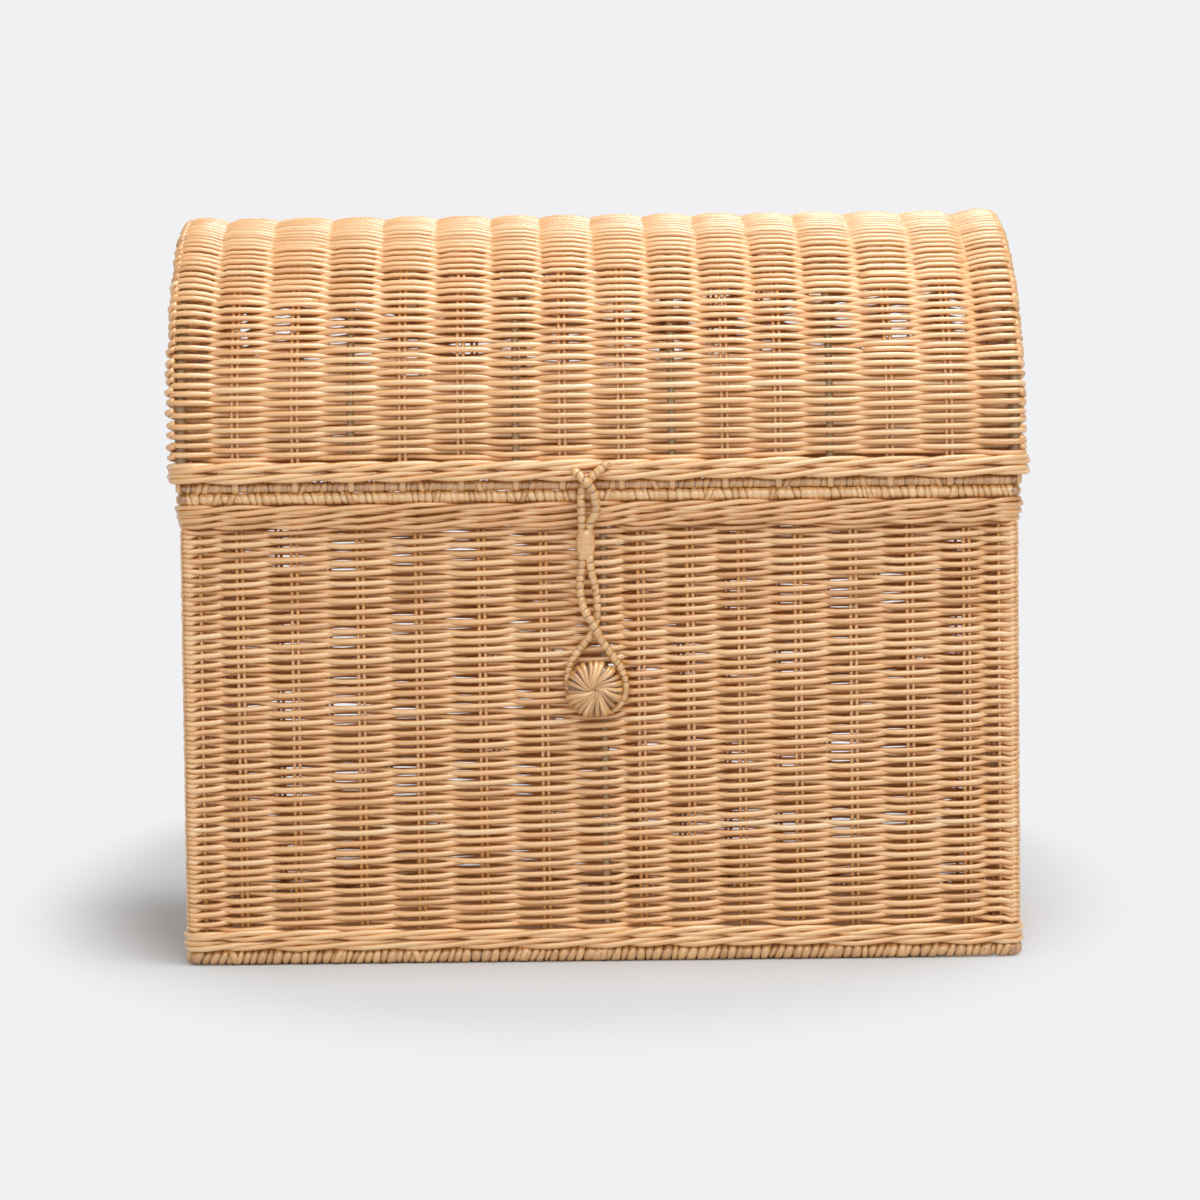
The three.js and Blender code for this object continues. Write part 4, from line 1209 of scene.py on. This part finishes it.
# The cord's route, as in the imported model, from the lid through the keeper and round the button: across from
# the keeper's middle, out from the front wall's face, and up from the keeper's middle
CORD_ROUTE = [
    (0.0112, 0.0078, 0.0408),
    (0.0084, 0.0084, 0.038),
    (0.0046, 0.0083, 0.0346),
    (0.001, 0.008, 0.031),
    (-0.0015, 0.0077, 0.0268),
    (-0.002, 0.0075, 0.0208),
    (-0.0019, 0.0073, 0.0148),
    (-0.0018, 0.0069, 0.0114),
    (-KEEPER_SPREAD, KEEPER_STANDOFF, 0.0076),
    (-KEEPER_SPREAD, KEEPER_STANDOFF, 0),
    (-KEEPER_SPREAD, KEEPER_STANDOFF, -0.0076),
    (-0.0021, 0.0052, -0.0117),
    (-0.003, 0.0047, -0.0182),
    (-0.0028, 0.0056, -0.0252),
    (-0.0012, 0.0064, -0.0322),
    (0.0026, 0.0067, -0.0386),
    (0.0076, 0.0058, -0.0482),
    (0.0123, 0.0042, -0.0552),
    (0.0166, 0.0028, -0.0622),
    (0.0189, 0.002, -0.0697),
    (0.018, 0.002, -0.0767),
    (0.0133, 0.002, -0.0822),
    (0.0053, 0.002, -0.0843),
    (-0.0027, 0.002, -0.082),
    (-0.008, 0.002, -0.0757),
    (-0.0096, 0.002, -0.0677),
    (-0.0084, 0.002, -0.0602),
    (-0.0047, 0.002, -0.0537),
    (-0.0004, 0.002, -0.0484),
    (0.0032, 0.002, -0.0432),
    (0.0048, 0.0023, -0.0377),
    (0.0054, 0.0028, -0.0312),
    (0.0048, 0.0034, -0.0232),
    (0.0032, 0.0046, -0.0162),
    (0.0023, 0.0052, -0.0117),
    (KEEPER_SPREAD, KEEPER_STANDOFF, -0.0076),
    (KEEPER_SPREAD, KEEPER_STANDOFF, 0),
    (KEEPER_SPREAD, KEEPER_STANDOFF, 0.0076),
    (0.0025, 0.0069, 0.0114),
    (0.0046, 0.0073, 0.0148),
    (0.0052, 0.0084, 0.0208),
    (0.0036, 0.0106, 0.0268),
    (0.0004, 0.0119, 0.0312),
    (-0.0028, 0.0112, 0.0344),
    (-0.0054, 0.0082, 0.0368),
]


def on_route(across, out, up):
    return np.array([KEEPER_SIDE + across, MIDDLE - WALL_FACE - out, KEEPER_HEIGHT + up])


def smooth_line(knots, steps):
    """A centripetal Catmull-Rom curve through its knots."""
    knots = np.asarray(knots, float)
    knots = np.concatenate([[2 * knots[0] - knots[1]], knots, [2 * knots[-1] - knots[-2]]])
    line = []
    for k in range(len(knots) - 3):
        a, b, c, d = knots[k : k + 4]
        t1 = math.sqrt(np.linalg.norm(b - a))
        t2 = t1 + math.sqrt(np.linalg.norm(c - b))
        t3 = t2 + math.sqrt(np.linalg.norm(d - c))
        for t in np.linspace(t1, t2, steps, endpoint=False):
            ab = a + (b - a) * t / t1
            bc = b + (c - b) * (t - t1) / (t2 - t1)
            cd = c + (d - c) * (t - t2) / (t3 - t2)
            first = ab + (bc - ab) * t / t2
            second = bc + (cd - bc) * (t - t1) / (t3 - t1)
            line.append(first + (second - first) * (t - t1) / (t2 - t1))
    line.append(knots[-2])
    return np.array(line)


CORD_STEPS = 10
CORD_SIDES = 10
CORD_OPEN_SHARE = 0.75
CORD_SLANT = 0.12
CORD_SLANT_SPREAD = 0.22
CORD_SHADE = 0.5
CORD_JOINT_SHADE = 1.1


def wrapped_strand(skein, line, radius):
    """A strand bound with peel along a smooth line, with uneven turns and dark joints between them."""
    step = np.linalg.norm(np.diff(line, axis=0), axis=1)
    distance = np.concatenate([[0], np.cumsum(step)])
    turns = round(distance[-1] / CORD_WRAP_PITCH)
    lay = (distance[-1], turns, CORD_TURN_WIDTHS, CORD_TURN_RINGS, CORD_OPEN_SHARE)
    _, along, opening = peel_turns(*lay)
    centres = np.stack([np.interp(along, distance, axis) for axis in line.T], axis=1)
    tangent = unit(np.gradient(centres, axis=0))
    outward = unit(np.cross(np.cross(tangent, (0, -1, 0)), tangent))
    across = np.cross(tangent, outward)
    turn = 2 * np.pi * np.arange(CORD_SIDES)[::-1] / CORD_SIDES
    size = np.interp(along, distance, radius) + CORD_GROOVE * np.tile(CORD_TURN_PROFILE, turns) * opening
    around = outward[:, None] * np.cos(turn)[:, None] + across[:, None] * np.sin(turn)[:, None]
    slants = CORD_SLANT + random.normal(0, CORD_SLANT_SPREAD, turns)
    slants = np.repeat(slants, len(CORD_TURN_RINGS))
    lean = (slants * size)[:, None] * np.sin(turn)
    grid = centres[:, None] + around * size[:, None, None] + tangent[:, None] * lean[..., None]
    round_it = turn * CORD_GRAIN_RADIUS
    bound(skein, grid, round_it, CORD_TURN_RINGS, opening, CORD_SHADE, CORD_JOINT_SHADE, False)


def closure():
    skein = Skein()
    line = smooth_line([on_route(*point) for point in CORD_ROUTE], CORD_STEPS)
    share = np.linspace(0, 1, len(line))
    wrapped_strand(skein, line, CORD_RADIUS * np.interp(share, *zip(*CORD_SWELL_SHARES)))
    cord = skein.piece("closure_cord_wraps", PEEL, None, "rattan_peel", "closure_cord")
    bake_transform(cord)
    keeper()


KEEPER_SIDES = 28
KEEPER_SEAM = 0.01
KEEPER_SEAM_SHADE = 0.1
KEEPER_SHADE = 0.46


def keeper():
    """A barrel of peel bound smoothly round both strands, with a faint line where its two turns meet."""
    skein = Skein()
    turn = -2 * np.pi * np.arange(KEEPER_SIDES) / KEEPER_SIDES
    middle = on_route(0, KEEPER_STANDOFF, 0)
    heights, shares = np.array(KEEPER_PROFILE).T
    sizes = (shares * KEEPER_WIDTH / 2)[:, None]
    up = heights[:, None] * KEEPER_LENGTH / 2 + KEEPER_SLANT * np.sin(turn)
    grid = middle + points(sizes * np.cos(turn), sizes * KEEPER_SQUASH * np.sin(turn), up)
    tone = np.where(np.abs(heights) < KEEPER_SEAM, KEEPER_SEAM_SHADE, KEEPER_SHADE)
    skein.tube(grid, turn * KEEPER_WIDTH / 2, heights[:, None] * 2, tone)
    skein.piece("cord_keeper_turns", PEEL, "closure_loop", "rattan_peel", "cord_keeper")


# Floor, lights and camera

BACKGROUND = 0xF1F1F3
FLOOR_SHADE = (0.62, 0.64, 0.66)
FADE_MIDDLE = (-0.015, 0.25, 0)
FADE_SQUASH = (1, 0.47, 0)
FADE_FROM = 0.235
FADE_TO = 0.33
FIELD_DISTANCE = 2.0
CAMERA_DISTANCE = 1.989
CAMERA_PITCH = math.radians(3)
CAMERA_ROLL = math.radians(-0.65)
CAMERA_AIM = 0.1815
AIM_DEPTH = 0.131
HALF_FRAME = 600
PIXEL = 0.0005
SENSOR = 36
VIEW_END = 50
FLOOR_REACH = 6
FLOOR_DROP = 0.0002
WORLD_STRENGTH = 0.62

# Each lamp's name, place, the point that it faces, its size and its power in watts
LAMPS = (
    ("key", (0.4, -0.25, 1.8), (0, 0, 0.15), 0.9, 16),
    ("side", (0.4, -1.4, 1.4), (0, 0, 0.15), 1.4, 9),
    ("front", (-0.1, -2.4, 0.5), (0, 0, 0.12), 2.4, 5.5),
)


def stage_material(name):
    """A pale floor that keeps shadows near the object and fades into the background further off."""
    made = bpy.data.materials.new(name)
    made.use_nodes = True
    tree = made.node_tree
    tree.nodes.remove(tree.nodes["Principled BSDF"])
    output = tree.nodes["Material Output"]
    matt = node(tree, "ShaderNodeBsdfDiffuse")
    matt.inputs["Color"].default_value = (*FLOOR_SHADE, 1)
    glow = node(tree, "ShaderNodeEmission")
    glow.inputs["Color"].default_value = paint(BACKGROUND)
    place = node(tree, "ShaderNodeNewGeometry").outputs["Position"]
    shifted = node(tree, "ShaderNodeVectorMath", place, operation="SUBTRACT")
    shifted.inputs[1].default_value = FADE_MIDDLE
    away = scaled(tree, shifted.outputs["Vector"], FADE_SQUASH)
    length = node(tree, "ShaderNodeVectorMath", away, operation="LENGTH").outputs["Value"]
    far = node(tree, "ShaderNodeMapRange", length, interpolation_type="SMOOTHSTEP")
    far.inputs["From Min"].default_value = FADE_FROM
    far.inputs["From Max"].default_value = FADE_TO
    seen = seen_by(tree, "Is Camera Ray", "Is Glossy Ray", "Is Transmission Ray")
    share = node(tree, "ShaderNodeMath", far.outputs["Result"], seen, operation="MULTIPLY").outputs["Value"]
    mix = node(tree, "ShaderNodeMixShader", share, matt.outputs["BSDF"], glow.outputs["Emission"])
    tree.links.new(mix.outputs["Shader"], output.inputs["Surface"])
    return made


def floor():
    mesh = bpy.data.meshes.new("floor")
    turns = ((-1, -1), (1, -1), (1, 1), (-1, 1))
    corners = [(x * FLOOR_REACH, y * FLOOR_REACH, -FLOOR_DROP) for x, y in turns]
    mesh.from_pydata(corners, [], [(0, 1, 2, 3)])
    mesh.materials.append(stage_material("floor"))
    made = placed("floor", mesh)


def world():
    """The background's colour as the camera sees it, and a plain light for everything else."""
    made = bpy.data.worlds.new("studio")
    bpy.context.scene.world = made
    made.use_nodes = True
    tree = made.node_tree
    shown = tree.nodes["Background"]
    shown.inputs["Color"].default_value = paint(BACKGROUND)
    lit = node(tree, "ShaderNodeBackground")
    lit.inputs["Color"].default_value = (1, 1, 1, 1)
    lit.inputs["Strength"].default_value = WORLD_STRENGTH
    seen = seen_by(tree, "Is Camera Ray", "Is Transmission Ray")
    mix = node(tree, "ShaderNodeMixShader", seen, lit.outputs["Background"], shown.outputs["Background"])
    tree.links.new(mix.outputs["Shader"], tree.nodes["World Output"].inputs["Surface"])


def lamp(name, place, aim, size, power):
    data = bpy.data.lights.new(name, "AREA")
    data.size = size
    data.energy = power
    made = placed(name, data)
    made.location = place
    made.rotation_euler = (Vector(aim) - Vector(place)).to_track_quat("-Z", "Y").to_euler()


def camera():
    data = bpy.data.cameras.new("camera")
    data.sensor_width = SENSOR
    data.lens = SENSOR / 2 * FIELD_DISTANCE / (HALF_FRAME * PIXEL)
    made = placed("camera", data)
    aim = Vector((0, MIDDLE - AIM_DEPTH, CAMERA_AIM))
    back = Vector((0, -math.cos(CAMERA_PITCH), math.sin(CAMERA_PITCH)))
    made.location = aim + back * CAMERA_DISTANCE
    made.rotation_euler = (-back).to_track_quat("-Z", "Y").to_euler()
    made.rotation_euler.rotate_axis("Z", CAMERA_ROLL)
    data.clip_end = VIEW_END
    bpy.context.scene.camera = made


camera()
chest_walls()
chest_poles()
base_weave()
chest_rings()
dome_weave()
lid_poles()
lid_end("left", -1)
lid_end("right", 1)
lid_rings()
hinge_loops()
button_head()
button_tie()
closure()
floor()
world()
for settings in LAMPS:
    lamp(*settings)
bpy.context.scene.view_settings.view_transform = "Standard"
